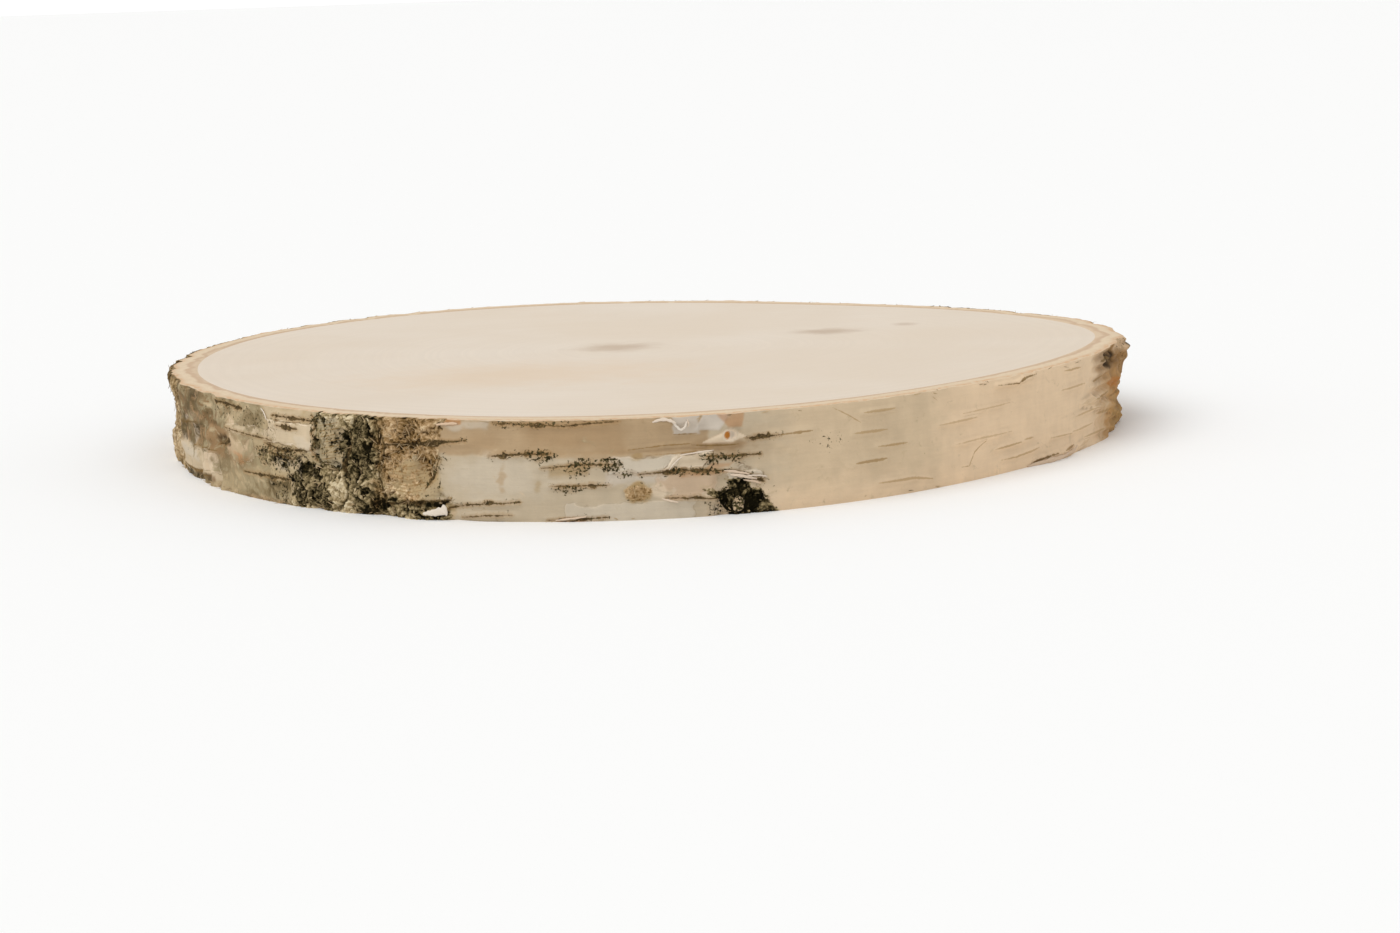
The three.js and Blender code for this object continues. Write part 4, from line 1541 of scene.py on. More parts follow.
@dataclass
class TornFibres:
    """Bast fibres: torn by the saw along both edges of the bark, and frayed out of the crust.

    Sizes from `widest` to `clearest` are pairs: that of fibres on the crust, and that of those on the edges.
    """

    bark: BarkWall
    material: Material
    along_edges: int = 420
    tries_on_crust: int = 14000
    left_foot_share: float = 0.4
    left_foot: Pair = (-170.0, -118.0)
    from_edge: Pair = (0.2, 0.7)
    length: Pair = (0.8, 3.2)
    thick: Pair = (0.1, 0.18)
    tone: Pair = (0.1, 0.8)
    thinnest: float = 0.12
    least_curl: float = 5.0
    widest: Pair = (0.36, 0.28)
    most_curl: Pair = (25.0, 50.0)
    astray: Pair = (60.0, 20.0)
    deepest: Pair = (0.0, -0.3)
    clearest: Pair = (0.12, 0.0)
    seed: int = 97

    def build(self) -> None:
        """Makes the fibres."""
        bark, draw = self.bark, np.random.default_rng(self.seed)
        edge_at, edge_height = self._edge_roots(draw)
        crust_at, crust_height = self._crust_roots(draw)
        edges, count = len(edge_at), len(edge_at) + len(crust_at)
        on_crust = np.arange(count) >= edges
        curls = Curls(
            at=np.concatenate([edge_at, crust_at]),
            height=np.concatenate([edge_height, crust_height]),
            length=draw.uniform(*self.length, count),
            width=draw.uniform(self.thinnest, np.where(on_crust, *self.widest)),
            thick=draw.uniform(*self.thick, count),
            run=draw.normal(0, np.where(on_crust, *self.astray)) + 180 * (draw.random(count) < 0.5),
            curl=draw.uniform(self.least_curl, np.where(on_crust, *self.most_curl)),
            lift=draw.uniform(np.where(on_crust, *self.deepest), np.where(on_crust, *self.clearest)),
        )
        traits = {"tone": draw.uniform(*self.tone, count)}
        curls.strips(bark).build("torn_fibres", traits, self.material)

    def _edge_roots(self, draw: np.random.Generator) -> tuple[Array, Array]:
        """Roots of the fibres along the edges, thickest at the left foot.

        Args:
            draw: The random draws.

        Returns:
            Their angles and heights.
        """
        count = self.along_edges
        left_foot = draw.random(count) < self.left_foot_share
        at = np.where(left_foot, draw.uniform(*self.left_foot, count), draw.uniform(-180, 180, count))
        top = ~left_foot & (draw.random(count) < 0.5)
        from_edge = draw.uniform(*self.from_edge, count)
        return at, np.where(top, THICKNESS - from_edge, from_edge)

    def _crust_roots(self, draw: np.random.Generator) -> tuple[Array, Array]:
        """Roots of the fibres on thick crust: most where it is brown, fewer in the moss.

        Args:
            draw: The random draws.

        Returns:
            Their angles and heights.
        """
        bark, tries = self.bark, self.tries_on_crust
        column, row = draw.integers(0, bark.columns, tries), draw.integers(3, bark.rows - 3, tries)
        fibrous = smoothstep(0.4, 0.9, bark.layers[CRUST]) * (0.15 + 0.85 * bark.layers[BROWN])
        fibrous *= 1 - 0.8 * bark.layers[MOSS]
        kept = draw.random(tries) < fibrous[row, column]
        return bark.degrees[column[kept]], bark.heights[row[kept]]


@dataclass
class PaperShreds:
    """Curls, flaps and chips of white paper: the front's, those the back repeats, and a few more there."""

    bark: BarkWall
    material: Material
    drawn: int = 14
    stations: int = 14
    sides: int = 8
    raggedness: Pair = (0.6, 1.15)
    back: Pair = (15.0, 165.0)
    heights: Pair = (2.0, 24.0)
    span: Pair = (0.6, 2.4)
    climb: float = 0.8
    clear: Pair = (0.5, 1.4)
    width: Pair = (0.6, 1.6)
    tone: Pair = (0.3, 1.0)
    seed: int = 71

    def build(self) -> None:
        """Makes the shreds, each along a spline through its points, with two ragged edges."""
        draw = np.random.default_rng(self.seed)
        shreds = with_echoes(SHREDS)
        shreds += [self._drawn_shred(draw) for _ in range(self.drawn)]
        spine = np.stack([self._path(shred) for shred in shreds])
        outward = spine * np.array([1, 1, 0])
        ahead = np.gradient(spine, axis=1)
        ahead /= np.linalg.norm(ahead, axis=-1, keepdims=True)
        facing = outward - ahead * np.sum(outward * ahead, axis=-1, keepdims=True)
        facing /= np.linalg.norm(facing, axis=-1, keepdims=True)
        sizes = np.array([(shred.width, shred.tone, shred.flare, shred.thick) for shred in shreds])
        width, tone, flare, thick = sizes.T[..., None]
        share = np.linspace(0, 1, self.stations)
        even = swelling(share)
        widening = (0.15 + 0.85 * share) * np.sqrt(1 - 0.75 * share**12)
        half = width / 2 * (even + flare * (widening - even))
        left, right = (half * draw.uniform(*self.raggedness, half.shape) for _ in range(2))
        strips = Strips(spine, facing, left, right, thick * (0.3 + 0.7 * even), self.sides)
        strips.build("paper_shreds", {"tone": tone[:, 0]}, self.material)

    def _path(self, shred: Shred) -> Array:
        """A spline through a shred's points, each set off from the bark under it.

        Args:
            shred: The shred.

        Returns:
            Places along it.
        """
        at, height, clear = np.array(shred.points).T
        radius = self.bark.wall_radius(at, height) + clear
        height = self.bark.settled(at, height)
        places = np.linspace(0, len(at) - 1, self.stations)
        weights = spline_weights(places, len(at), closed=False)
        return around_axis(weights @ radius, np.radians(weights @ at), weights @ height)

    def _drawn_shred(self, draw: np.random.Generator) -> Shred:
        """A short curl somewhere on the back.

        Args:
            draw: The random draws.

        Returns:
            The shred.
        """
        at, height = draw.uniform(*self.back), draw.uniform(*self.heights)
        long, climb, clear = draw.uniform(*self.span), draw.normal(0, self.climb), draw.uniform(*self.clear)
        middle, tip = (at + long / 2, height + climb / 2, clear / 3), (at + long, height + climb, clear)
        return Shred(((at, height, 0.05), middle, tip), draw.uniform(*self.width), draw.uniform(*self.tone))


def colour(code: str) -> tuple[float, float, float, float]:
    """A colour as the shader takes it, from its display code, by the standard curve of a display."""
    shown = np.array(list(bytes.fromhex(code))) / 255
    return (*np.where(shown <= 0.04045, shown / 12.92, ((shown + 0.055) / 1.055) ** 2.4).tolist(), 1.0)


class Graph:
    """A tree of shader nodes, written as short calls, one for each node."""

    def __init__(self, tree: Tree) -> None:
        """Takes the tree that the nodes go into."""
        self.tree = tree

    def node(self, kind: str, inputs: Inputs, **settings: object) -> bpy.types.Node:
        """Adds a node.

        Args:
            kind: Its type.
            inputs: What feeds its sockets: another socket, a value, or a colour's display code.
            settings: Its properties.

        Returns:
            The new node.
        """
        node = self.tree.nodes.new(kind)
        for name, setting in settings.items():
            setattr(node, name, setting)
        self.feed(node, inputs)
        return node

    def feed(self, node: bpy.types.Node, inputs: Inputs) -> None:
        """Links or sets some of a node's sockets.

        Args:
            node: The node.
            inputs: What feeds its sockets.
        """
        for key, value in inputs.items():
            if isinstance(value, Socket):
                self.tree.links.new(value, node.inputs[key])
            else:
                node.inputs[key].default_value = colour(value) if isinstance(value, str) else value

    def place(self) -> Socket:
        """The point on the object, in metres."""
        return self.node("ShaderNodeTexCoord", {}).outputs["Object"]

    def stretched(self, place: Value, level: float, upright: float) -> Socket:
        """A place stretched by one factor round the slice and another up it."""
        return self.vector("MULTIPLY", place, (level, level, upright))

    def swayed(self, place: Value, size_mm: float, reach_mm: float) -> Socket:
        """A place moved by noise, so that patterns on it flow: the place plus noise times twice the reach."""
        noise = self.node("ShaderNodeTexNoise", {"Vector": place, "Scale": 1 / (size_mm * MM), "Detail": 2.0})
        return self.vector("MULTIPLY_ADD", noise.outputs["Color"], (2 * reach_mm * MM,) * 3, place)

    def attribute(self, name: str) -> Socket:
        """A number stored on the mesh."""
        return self.node("ShaderNodeAttribute", {}, attribute_name=name).outputs["Fac"]

    def vector(self, operation: str, *terms: Value) -> Socket:
        """One sum of up to three vectors."""
        return self.node("ShaderNodeVectorMath", dict(enumerate(terms)), operation=operation).outputs[0]

    def math(self, operation: str, *terms: Value) -> Socket:
        """One sum of up to three numbers."""
        return self.node("ShaderNodeMath", dict(enumerate(terms)), operation=operation).outputs[0]

    def plus(self, first: Value, second: Value) -> Socket:
        """Two numbers added."""
        return self.math("ADD", first, second)

    def minus(self, first: Value, second: Value) -> Socket:
        """The second number taken from the first."""
        return self.math("SUBTRACT", first, second)

    def times(self, first: Value, second: Value) -> Socket:
        """Two numbers multiplied."""
        return self.math("MULTIPLY", first, second)

    def linear(self, value: Value, factor: float, offset: Value) -> Socket:
        """A number times a factor, plus an offset."""
        return self.math("MULTIPLY_ADD", value, factor, offset)

    def line_of(self, along: Value) -> Socket:
        """A place on a straight line, at a number of millimetres along it."""
        return self.node("ShaderNodeCombineXYZ", {0: self.times(along, MM)}).outputs[0]

    def palette(self, value: Value, stops: Stops) -> Socket:
        """A colour that runs through several as a value rises.

        Args:
            value: The value.
            stops: Values and the display codes they show.

        Returns:
            The colour.
        """
        node = self.node("ShaderNodeValToRGB", {0: value})
        elements = node.color_ramp.elements
        elements.remove(elements[-1])
        elements[0].position, elements[0].color = stops[0][0], colour(stops[0][1])
        for position, code in stops[1:]:
            elements.new(position).color = colour(code)
        return node.outputs[0]

    def ramp(self, value: Value, low: Value, high: Value, start: float = 0, end: float = 1) -> Socket:
        """A smooth rise from `start` to `end` as the value goes from low to high."""
        inputs = {0: value, 1: low, 2: high, 3: start, 4: end}
        return self.node("ShaderNodeMapRange", inputs, interpolation_type="SMOOTHSTEP").outputs[0]

    def noise(self, place: Value, size_mm: float, detail: float = 3.0, roughness: float = 0.55) -> Socket:
        """Fractal noise whose largest lumps are about `size_mm` across."""
        inputs = {"Vector": place, "Scale": 1 / (size_mm * MM), "Detail": detail, "Roughness": roughness}
        return self.node("ShaderNodeTexNoise", inputs).outputs[0]

    def mix(self, share: Value, below: Value, above: Value, blend: str = "MIX") -> Socket:
        """One colour laid over another."""
        inputs = {0: share, 6: below, 7: above}
        return self.node("ShaderNodeMix", inputs, data_type="RGBA", blend_type=blend).outputs[2]

    def shaded(self, base: Value, value: Value) -> Socket:
        """A colour made lighter or darker by a factor."""
        grey = self.node("ShaderNodeCombineColor", {0: value, 1: value, 2: value}).outputs[0]
        return self.mix(1.0, base, grey, blend="MULTIPLY")

    def bump(self, height: Value, depth_mm: float, strength: float = 1.0) -> Socket:
        """A normal that follows a height from 0 to 1, `depth_mm` deep."""
        inputs = {"Height": height, "Distance": depth_mm * MM, "Strength": strength}
        return self.node("ShaderNodeBump", inputs).outputs["Normal"]

    def placed(self, effect: "Effect", *inputs: Value) -> Socket:
        """A shared effect with its own values, by its one output."""
        return self.node("ShaderNodeGroup", dict(enumerate(inputs)), node_tree=effect.group()).outputs[0]


GREY_CRUST: Stops = (
    (0.0, "16130A"), (0.2, "38301C"), (0.42, "6E6044"), (0.6, "94835F"), (0.8, "B7A27E"), (1.0, "D6C6A4"),
)
BROWN_CRUST: Stops = (
    (0.0, "1D150A"), (0.2, "4A361D"), (0.42, "866A43"), (0.6, "A48660"), (0.8, "BFA17A"), (1.0, "D8C09A"),
)


def ragged(g: Graph, mask: Socket, noise: Socket, amount: Socket) -> Socket:
    """A soft mask turned into one with a crisp, wandering edge: mask plus noise, cut at one half."""
    wander = g.times(g.minus(noise, 0.5), amount)
    return g.ramp(g.plus(mask, wander), 0.38, 0.62)


def strewn(g: Graph, density: Socket, noise: Socket) -> Socket:
    """Specks by density: noise cut at a level that falls as the density grows."""
    over = g.minus(noise, g.linear(density, -0.24, 0.7))
    return g.times(g.ramp(over, -0.03, 0.04), g.ramp(density, 0.02, 0.2))


def mottled(g: Graph, base: Socket, noise: Socket, amount: Socket) -> Socket:
    """A colour made unevenly lighter and darker: the colour times 1 plus noise about its middle."""
    swing = g.times(g.minus(noise, 0.5), amount)
    return g.shaded(base, g.plus(swing, 1.0))


def crusty(g: Graph, shade: Socket, brown: Socket, noise: Socket) -> Socket:
    """The crust's colour by its shade, from black in cracks to pale, grey or brown, broken up by noise."""
    tone = g.plus(shade, g.linear(noise, 1.5, -0.75))
    return g.mix(brown, g.palette(tone, GREY_CRUST), g.palette(tone, BROWN_CRUST))


@dataclass(frozen=True)
class Effect:
    """An effect that finishes share. Its sockets are numbers, or colours where they are named Colour."""

    name: str
    work: Callable[..., Socket]
    inputs: tuple[str, ...]
    output: str

    def group(self) -> Tree:
        """Its node group, which is built when it is first asked for."""
        return bpy.data.node_groups.get(self.name) or self._built()

    def _built(self) -> Tree:
        """Builds the group.

        Returns:
            The group, with its named sockets and its nodes.
        """
        tree = bpy.data.node_groups.new(self.name, "ShaderNodeTree")
        for in_out, label in (*(("INPUT", label) for label in self.inputs), ("OUTPUT", self.output)):
            kind = "NodeSocketColor" if label == "Colour" else "NodeSocketFloat"
            tree.interface.new_socket(label, in_out=in_out, socket_type=kind)
        entry, graph = tree.nodes.new("NodeGroupInput"), Graph(tree)
        graph.node("NodeGroupOutput", {0: self.work(graph, *(entry.outputs[label] for label in self.inputs))})
        return tree


RAGGED = Effect("Ragged edge", ragged, ("Mask", "Noise", "Amount"), "Mask")
STREWN = Effect("Strewn specks", strewn, ("Density", "Noise"), "Mask")
MOTTLED = Effect("Mottled", mottled, ("Colour", "Noise", "Amount"), "Colour")
CRUSTY = Effect("Crust", crusty, ("Shade", "Brown", "Noise"), "Colour")


def new_material(name: str, gloss: float) -> tuple[Material, Graph, bpy.types.Node]:
    """Starts a material.

    Args:
        name: Its name.
        gloss: How strongly it mirrors.

    Returns:
        The material, its graph, and its one shader, already joined to the output.
    """
    material = bpy.data.materials.new(name)
    material.use_nodes = True
    material.node_tree.nodes.clear()
    graph = Graph(material.node_tree)
    shader = graph.node("ShaderNodeBsdfPrincipled", {"Specular IOR Level": gloss})
    graph.node("ShaderNodeOutputMaterial", {"Surface": shader.outputs[0]})
    return material, graph, shader


class BarkGraph(Graph):
    """The bark's graph, with what its mesh stores and the noises that several layers share."""

    def __init__(self, tree: Tree) -> None:
        """Adds what is shared.

        Args:
            tree: The tree that the nodes go into.
        """
        super().__init__(tree)
        self.point = self.place()
        self.layer = {kind: self.attribute(kind.value) for kind in Layer}
        self.trait = {kind: self.attribute(kind.value) for kind in Trait if kind is not Trait.PAINT}
        self.fine = self.noise(self.point, 0.9, 4, 0.7)
        self.grit = self.noise(self.point, 1.7, 5, 0.75)
        self.hair = self.noise(self.stretched(self.point, 0.07, 1.0), 0.7, 3)


@dataclass(frozen=True)
class BarkFinish:
    """Birch bark: painted paper, lichen, torn borders with a painted highlight and shadow, crust, slits,
    moss, painted shade in hollows and the sawn inner bark.
    """

    lichen: Stops = (
        (0.0, "3E3521"), (0.25, "6E5E42"), (0.42, "8C7B5C"), (0.58, "A19273"), (0.76, "B9A482"),
        (1.0, "CDB697"),
    )
    slit: Stops = ((0.3, "2A2114"), (0.5, "4B3C25"), (0.7, "7A6441"))
    moss: Stops = ((0.3, "1B180D"), (0.5, "39341F"), (0.7, "645A3A"))
    ochre: str = "A88758"
    stain: str = "98764B"
    torn_highlight: str = "EBDAC2"
    torn_shadow: str = "6B5236"
    bast: str = "C8925F"
    inner: str = "D8C3A6"
    inner_pale: str = "E4D0B4"
    cambium: str = "C0A083"
    crust_fray: float = 2.2
    cavity_shade: float = 0.55
    paper_roughness: float = 0.55
    crust_roughness: float = 0.9
    relief: float = 0.4
    relief_strength: float = 0.7
    gloss: float = 0.01

    def material(self) -> Material:
        """Builds the finish, from the paper up to the moss.

        Returns:
            The material.
        """
        material, graph, shader = new_material("birch bark", self.gloss)
        g = BarkGraph(graph.tree)
        crust, moss = g.layer[CRUST], g.layer[MOSS]
        straw = g.noise(g.stretched(g.swayed(g.point, 5, 5), 0.28, 1.0), 0.55, 3, 0.6)
        shaggy = g.linear(straw, 0.7, g.linear(g.fine, 0.7, -0.2))
        base = self._torn(g, self._lichen(g, self._paper(g)))
        frayed = self._frayed(g)
        fringe = g.times(g.ramp(frayed, -1.0, 0.1), g.ramp(g.trait[Trait.SLIT_TONE], 0.3, 1.0, 0, 0.5))
        base = g.mix(fringe, base, self.stain)
        mask = g.placed(RAGGED, crust, g.grit, self.crust_fray)
        base = g.mix(mask, base, g.placed(CRUSTY, g.trait[Trait.SHADE], g.layer[BROWN], shaggy))
        base = self._slits(g, base, frayed)
        loose = g.times(moss, g.minus(1.0, mask))
        base = g.mix(g.ramp(loose, 0.3, 1.0, 0, 0.4), base, self.stain)
        specks = g.placed(STREWN, loose, g.noise(g.point, 0.8, 4, 0.65))
        base = g.mix(specks, base, g.palette(g.fine, self.moss))
        # Painted shade: hollows of the relief are darkened by the cavity trait.
        base = g.shaded(base, g.ramp(g.trait[Trait.CAVITY], 0.0, 0.9, 1.0, self.cavity_shade))
        base = self._sawn(g, base)
        height = g.plus(g.times(shaggy, g.ramp(crust, 0, 1, 0.25, 1.0)), g.times(g.hair, 0.3))
        roughness = g.ramp(crust, 0, 1, self.paper_roughness, self.crust_roughness)
        normal = g.bump(height, self.relief, self.relief_strength)
        g.feed(shader, {"Base Color": base, "Roughness": roughness, "Normal": normal})
        return material

    def _paper(self, g: BarkGraph) -> Socket:
        """The painted paper, mottled by soft clouds, upright shades and level hair lines.

        Args:
            g: The bark's graph.

        Returns:
            The colour.
        """
        paper = g.node("ShaderNodeAttribute", {}, attribute_name=Trait.PAINT.value).outputs["Color"]
        clouds, upright = g.noise(g.point, 8, 4), g.noise(g.stretched(g.point, 1.0, 0.15), 3, 4)
        for noise, amount in ((clouds, 0.3), (upright, 0.14), (g.hair, 0.1)):
            paper = g.placed(MOTTLED, paper, noise, amount)
        return paper

    def _lichen(self, g: BarkGraph, base: Value) -> Socket:
        """The lichen's veil, in flowing blotches from brown through grey-green to beige.

        Args:
            g: The bark's graph.
            base: The colour under it.

        Returns:
            The colour with the lichen on it.
        """
        flow = g.swayed(g.stretched(g.point, 0.8, 1.0), 9, 7)
        level = g.linear(g.noise(flow, 7, 5, 0.6), 2.6, -0.78)
        level = g.linear(g.layer[BROWN], -0.58, level)
        wander = g.linear(g.noise(flow, 3.5, 5, 0.65), 2.4, -1.2)
        veil = g.ramp(g.plus(g.layer[LICHEN], wander), 0.2, 0.8)
        return g.mix(veil, base, g.palette(level, self.lichen))

    def _torn(self, g: BarkGraph, base: Value) -> Socket:
        """Torn borders of the paper, in short stretches: a painted highlight inside and a painted shadow
        outside.

        Args:
            g: The bark's graph.
            base: The colour under them.

        Returns:
            The colour with the borders on it.
        """
        torn = g.trait[Trait.TORN]
        tear = g.plus(g.trait[Trait.TEAR], g.linear(g.grit, 1.2, -0.6))
        inside = g.times(g.ramp(tear, -0.05, 0.08), g.ramp(tear, 0.12, 0.4, 1, 0))
        outside = g.times(g.ramp(tear, -0.5, -0.2), g.ramp(tear, -0.12, 0.02, 1, 0))
        stretch = g.noise(g.point, 4, 3)
        lit, shaded = g.times(torn, g.ramp(stretch, 0.42, 0.58)), g.times(torn, g.ramp(stretch, 0.6, 0.44))
        # Painted shadow just outside each torn border, and painted highlight just inside it.
        base = g.mix(g.times(outside, shaded), base, self.torn_shadow)
        return g.mix(g.times(inside, lit), base, self.torn_highlight)

    def _frayed(self, g: BarkGraph) -> Socket:
        """How far a point lies inside a slit: dark slits are beaded and frayed by noise.

        Args:
            g: The bark's graph.

        Returns:
            The distance in millimetres, below 0 outside.
        """
        tone = g.trait[Trait.SLIT_TONE]
        bead = g.linear(g.noise(g.point, 1.2, 2), 2.4, -0.2)
        swell = g.node("ShaderNodeMix", {0: tone, 2: 1.0, 3: bead}).outputs[0]
        half = g.times(g.trait[Trait.SLIT_HALF], g.math("MAXIMUM", swell, 0.3))
        inside = g.minus(half, g.math("ABSOLUTE", g.trait[Trait.SLIT_OFFSET]))
        return g.plus(inside, g.times(g.minus(g.fine, 0.5), g.ramp(tone, 0, 1, 0.6, 1.3)))

    def _slits(self, g: BarkGraph, base: Value, frayed: Value) -> Socket:
        """Lenticels and cracks: an ochre dash where the tone is low, a black-brown line where it is high.

        Args:
            g: The bark's graph.
            base: The colour under them.
            frayed: How far a point lies inside a slit.

        Returns:
            The colour with the slits on it.
        """
        tone = g.trait[Trait.SLIT_TONE]
        mask = g.times(g.ramp(frayed, -0.12, 0.12), g.ramp(tone, -0.4, 0.6, 0.2, 0.95))
        dark = g.mix(g.ramp(tone, 0, 0.9), self.ochre, g.palette(g.fine, self.slit))
        return g.mix(mask, base, dark)

    def _sawn(self, g: BarkGraph, base: Value) -> Socket:
        """The inner bark on the sawn rims: an orange line under the skin, cream, and brown at the wood.

        Args:
            g: The bark's graph.
            base: The colour of the skin.

        Returns:
            The colour with the rims on it.
        """
        flecks = g.ramp(g.noise(g.point, 1.6, 4, 0.6), 0.34, 0.6)
        depth = g.plus(g.trait[Trait.DEPTH], g.linear(g.noise(g.point, 9, 3), 3.0, -1.5))
        pale = g.times(flecks, g.noise(g.line_of(depth), 1.1, 2))
        inner = g.mix(pale, self.inner, self.inner_pale)
        border = g.times(g.ramp(depth, 4.6, 5.6), g.ramp(depth, 6.2, 7.6, 0.62, 0.25))
        inner = g.mix(border, inner, self.cambium)
        line = g.times(g.ramp(depth, 0.2, 0.6), g.ramp(depth, 1.2, 3.0, 0.55, 0))
        inner = g.mix(g.times(line, flecks), inner, self.bast)
        cut = g.times(g.layer[CRUST], 1.6)
        return g.mix(g.ramp(g.trait[Trait.DEPTH], cut, g.plus(cut, 0.5)), base, inner)


@dataclass(frozen=True)
class HeartStain:
    """A stain that runs right through the wood, by its middle, its reach each way and its strength."""

    middle: Pair
    half: Pair
    strength: float

    def mask(self, g: Graph, place: Value) -> Socket:
        """The stain, strongest at its middle, with a drifting edge: distance plus noise, falling outwards.

        Args:
            g: The wood's graph.
            place: The point on the object.

        Returns:
            How strong the stain is.
        """
        scale = (*(1 / (half * MM) for half in self.half), 0.0)
        shift = (*(-at / half for at, half in zip(self.middle, self.half)), 0.0)
        local = g.node("ShaderNodeMapping", {"Vector": place, "Location": shift, "Scale": scale}).outputs[0]
        away = g.node("ShaderNodeVectorMath", {0: local}, operation="LENGTH").outputs["Value"]
        drift = g.times(g.minus(g.noise(place, 9, 4, 0.6), 0.5), 1.1)
        return g.ramp(g.plus(away, drift), 0.1, 1.15, self.strength, 0.0)


@dataclass(frozen=True)
class WoodFinish:
    """Sawn and sanded end grain: faint growth rings, a warm patch and brown heart stains."""

    pale: str = "E1D3C1"
    deep: str = "DBCAB4"
    peach: str = "DDC3A4"
    heart: str = "A98A68"
    ring_size: float = 2.4
    ring_contrast: float = 0.13
    wave_size: float = 40.0
    wave: float = 6.0
    cloud_size: float = 55.0
    cloud: float = 0.6
    grain_size: float = 0.6
    grain_contrast: float = 0.07
    warm_patch: HeartStain = HeartStain((-30, -50), (60, 36), 0.5)
    stains: tuple[HeartStain, ...] = (
        HeartStain((-4, 7), (15, 13), 0.5),
        HeartStain((61, 29), (13, 10), 0.55),
        HeartStain((86, 41), (5, 6), 0.4),
    )
    roughness: Pair = (0.5, 0.62)
    relief: float = 0.06
    relief_strength: float = 0.5
    gloss: float = 0.35

    def material(self) -> Material:
        """Builds the finish.

        Returns:
            The material.
        """
        material, g, shader = new_material("birch end grain", self.gloss)
        place = g.place()
        wave = g.noise(place, self.wave_size, 3)
        growth = g.plus(g.attribute("growth"), g.times(wave, self.wave))
        rings = g.noise(g.line_of(growth), self.ring_size, 2, 0.6)
        base = g.placed(MOTTLED, self.pale, rings, self.ring_contrast)
        clouds = g.ramp(g.noise(place, self.cloud_size, 3), 0.3, 0.7, 0, self.cloud)
        base = g.mix(clouds, base, self.deep)
        grain = g.noise(place, self.grain_size, 3, 0.7)
        base = g.placed(MOTTLED, base, grain, self.grain_contrast)
        base = g.mix(self.warm_patch.mask(g, place), base, self.peach)
        for stain in self.stains:
            base = g.mix(stain.mask(g, place), base, self.heart)
        roughness = g.ramp(wave, 0.2, 0.8, *self.roughness)
        normal = g.bump(g.noise(place, 0.5, 3, 0.6), self.relief, self.relief_strength)
        g.feed(shader, {"Base Color": base, "Roughness": roughness, "Normal": normal})
        return material


@dataclass(frozen=True)
class LooseFinish(ABC):
    """A finish for small loose pieces, broken up by fine noise."""

    name: str
    roughness: float
    gloss: float
    noise: tuple[float, float, float]
    relief: float = 0.2
    relief_strength: float = 0.5

    @abstractmethod
    def base(self, g: Graph, fine: Value) -> Socket:
        """The colour, which every kind of loose piece comes by in its own way."""

    def material(self) -> Material:
        """Builds the finish.

        Returns:
            The material.
        """
        material, g, shader = new_material(self.name, self.gloss)
        fine = g.noise(g.place(), *self.noise)
        normal = g.bump(fine, self.relief, self.relief_strength)
        base = self.base(g, fine)
        g.feed(shader, {"Base Color": base, "Roughness": self.roughness, "Normal": normal})
        return material


@dataclass(frozen=True)
class FlakeFinish(LooseFinish):
    """Crust flakes, in the colours of the crust they stand on."""

    def base(self, g: Graph, fine: Value) -> Socket:
        """The colour of the crust at a flake's root."""
        shade, brown = g.attribute(Trait.SHADE.value), g.attribute(BROWN.value)
        return g.placed(CRUSTY, shade, brown, fine)


@dataclass(frozen=True)
class StripFinish(LooseFinish):
    """Loose strips, which run from a deep colour to a pale one by each strip's tone."""

    deep: str = ""
    pale: str = ""
    mottle: float = 0.0

    def base(self, g: Graph, fine: Value) -> Socket:
        """The colour by a strip's tone, mottled."""
        tone = g.mix(g.attribute("tone"), self.deep, self.pale)
        return g.placed(MOTTLED, tone, fine, self.mottle)


FLAKES = FlakeFinish("crust flakes", 0.95, 0.05, (0.9, 4, 0.7))
SHRED_PAPER = StripFinish("birch paper", 0.5, 0.2, (0.8, 4, 0.65), deep="C9A47C", pale="E0D5C6", mottle=0.25)
BAST = StripFinish("bast fibres", 0.75, 0.2, (0.8, 4, 0.65), deep="6E5638", pale="D2B78E", mottle=0.3)


@dataclass(frozen=True)
class PhotoCamera:
    """The viewpoint: just above the slice, with the picture's framing and its slight roll."""

    distance: float = 900.0
    elevation: float = 7.68
    roll: float = 2.09
    focal_pixels: float = 3010.0
    image: tuple[int, int] = (1400, 933)
    slice_pixel: Pair = (632.1, 392.8)
    sensor: float = 36.0
    clip_metres: Pair = (0.02, 50.0)

    def build(self) -> None:
        """Makes the camera: aimed at the slice's middle, rolled, then turned to bring it to its pixel."""
        tilt = math.radians(self.elevation)
        away = Vector((0, -math.cos(tilt), math.sin(tilt)))
        aside, below = (
            (pixel - size / 2) / self.focal_pixels for pixel, size in zip(self.slice_pixel, self.image)
        )
        yaw = math.atan(aside)
        pitch = math.atan(below * math.cos(yaw))
        place = Matrix.Translation((Vector((0, 0, THICKNESS / 2)) + away * self.distance) * MM)
        turns = ((math.pi / 2 - tilt, "X"), (-math.radians(self.roll), "Z"), (yaw, "Y"), (pitch, "X"))
        for angle, axis in turns:
            place = place @ Matrix.Rotation(angle, 4, axis)
        data = bpy.data.cameras.new("photo camera")
        data.sensor_fit = "HORIZONTAL"
        data.sensor_width = self.sensor
        data.lens = self.sensor * self.focal_pixels / self.image[0]
        data.clip_start, data.clip_end = self.clip_metres
        camera = bpy.data.objects.new("photo camera", data)
        camera.matrix_world = place
        bpy.context.scene.collection.objects.link(camera)
        bpy.context.scene.camera = camera


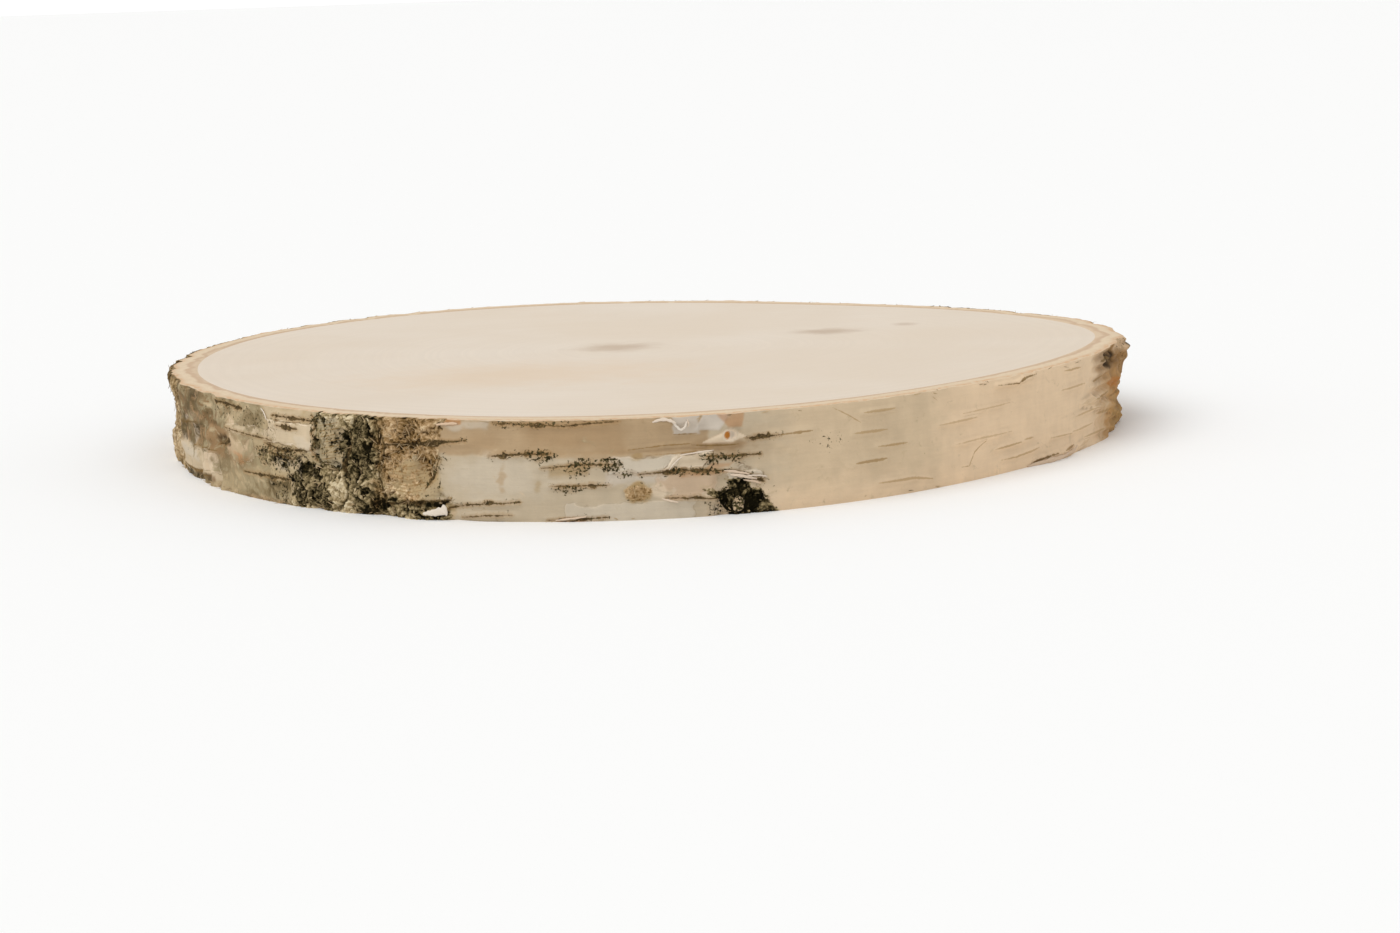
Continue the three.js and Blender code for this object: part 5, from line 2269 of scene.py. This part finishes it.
@dataclass(frozen=True)
class Studio:
    """A plain white floor under a soft sky, with a broad soft key light from the left."""

    floor_half: float = 40.0
    floor_colour: str = "F8F8F7"
    floor_gloss: float = 0.5
    floor_roughness: float = 0.9
    sky: float = 0.72
    seen_sky: float = 1.05
    key_from: tuple[float, float, float] = (-0.48, -0.4, 0.78)
    key_strength: float = 1.3
    key_spread: float = 50.0

    def build(self) -> None:
        """Makes the floor, the sky and the key light, and shows colours as they are."""
        half = self.floor_half / MM
        corners = np.array([[-half, -half, 0], [half, -half, 0], [half, half, 0], [-half, half, 0]])
        floor = mesh_object("floor", corners, np.array([[0, 1, 2, 3]]))
        material, g, shader = new_material("pale floor", self.floor_gloss)
        g.feed(shader, {"Base Color": self.floor_colour, "Roughness": self.floor_roughness})
        floor.data.materials.append(material)
        self._light_sky()
        data = bpy.data.lights.new("soft key", "SUN")
        data.energy = self.key_strength
        data.angle = math.radians(self.key_spread)
        lamp = bpy.data.objects.new("soft key", data)
        lamp.rotation_euler = (-Vector(self.key_from)).to_track_quat("-Z", "Y").to_euler()
        bpy.context.scene.collection.objects.link(lamp)
        bpy.context.scene.view_settings.view_transform = "Standard"

    def _light_sky(self) -> None:
        """Makes the sky: soft light on the slice, and plain white where it is seen behind the floor."""
        world = bpy.data.worlds.new("soft sky")
        world.use_nodes = True
        bpy.context.scene.world = world
        g = Graph(world.node_tree)
        seen = g.node("ShaderNodeLightPath", {}).outputs["Is Camera Ray"]
        background = world.node_tree.nodes["Background"]
        g.feed(background, {"Color": (1, 1, 1, 1)})
        g.feed(background, {"Strength": g.ramp(seen, 0, 1, self.sky, self.seen_sky)})


def main() -> None:
    """Builds the studio, then the slice's pieces from the inside out."""
    logging.basicConfig(level=logging.INFO, format="%(name)s %(message)s")
    packed = PackedWall(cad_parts[NODE])
    LOG.info("packed wall: %s radii, mean %.1f mm", packed.radii.shape, packed.mean_radius)
    PhotoCamera().build()
    Studio().build()
    bark = BarkWall(packed, BarkFinish().material())
    SawnWood(bark, WoodFinish().material()).build()
    bark.build()
    CrustFlakes(bark, FLAKES.material()).build()
    PaperShreds(bark, SHRED_PAPER.material()).build()
    TornFibres(bark, BAST.material()).build()


if __name__ == "__main__":
    main()
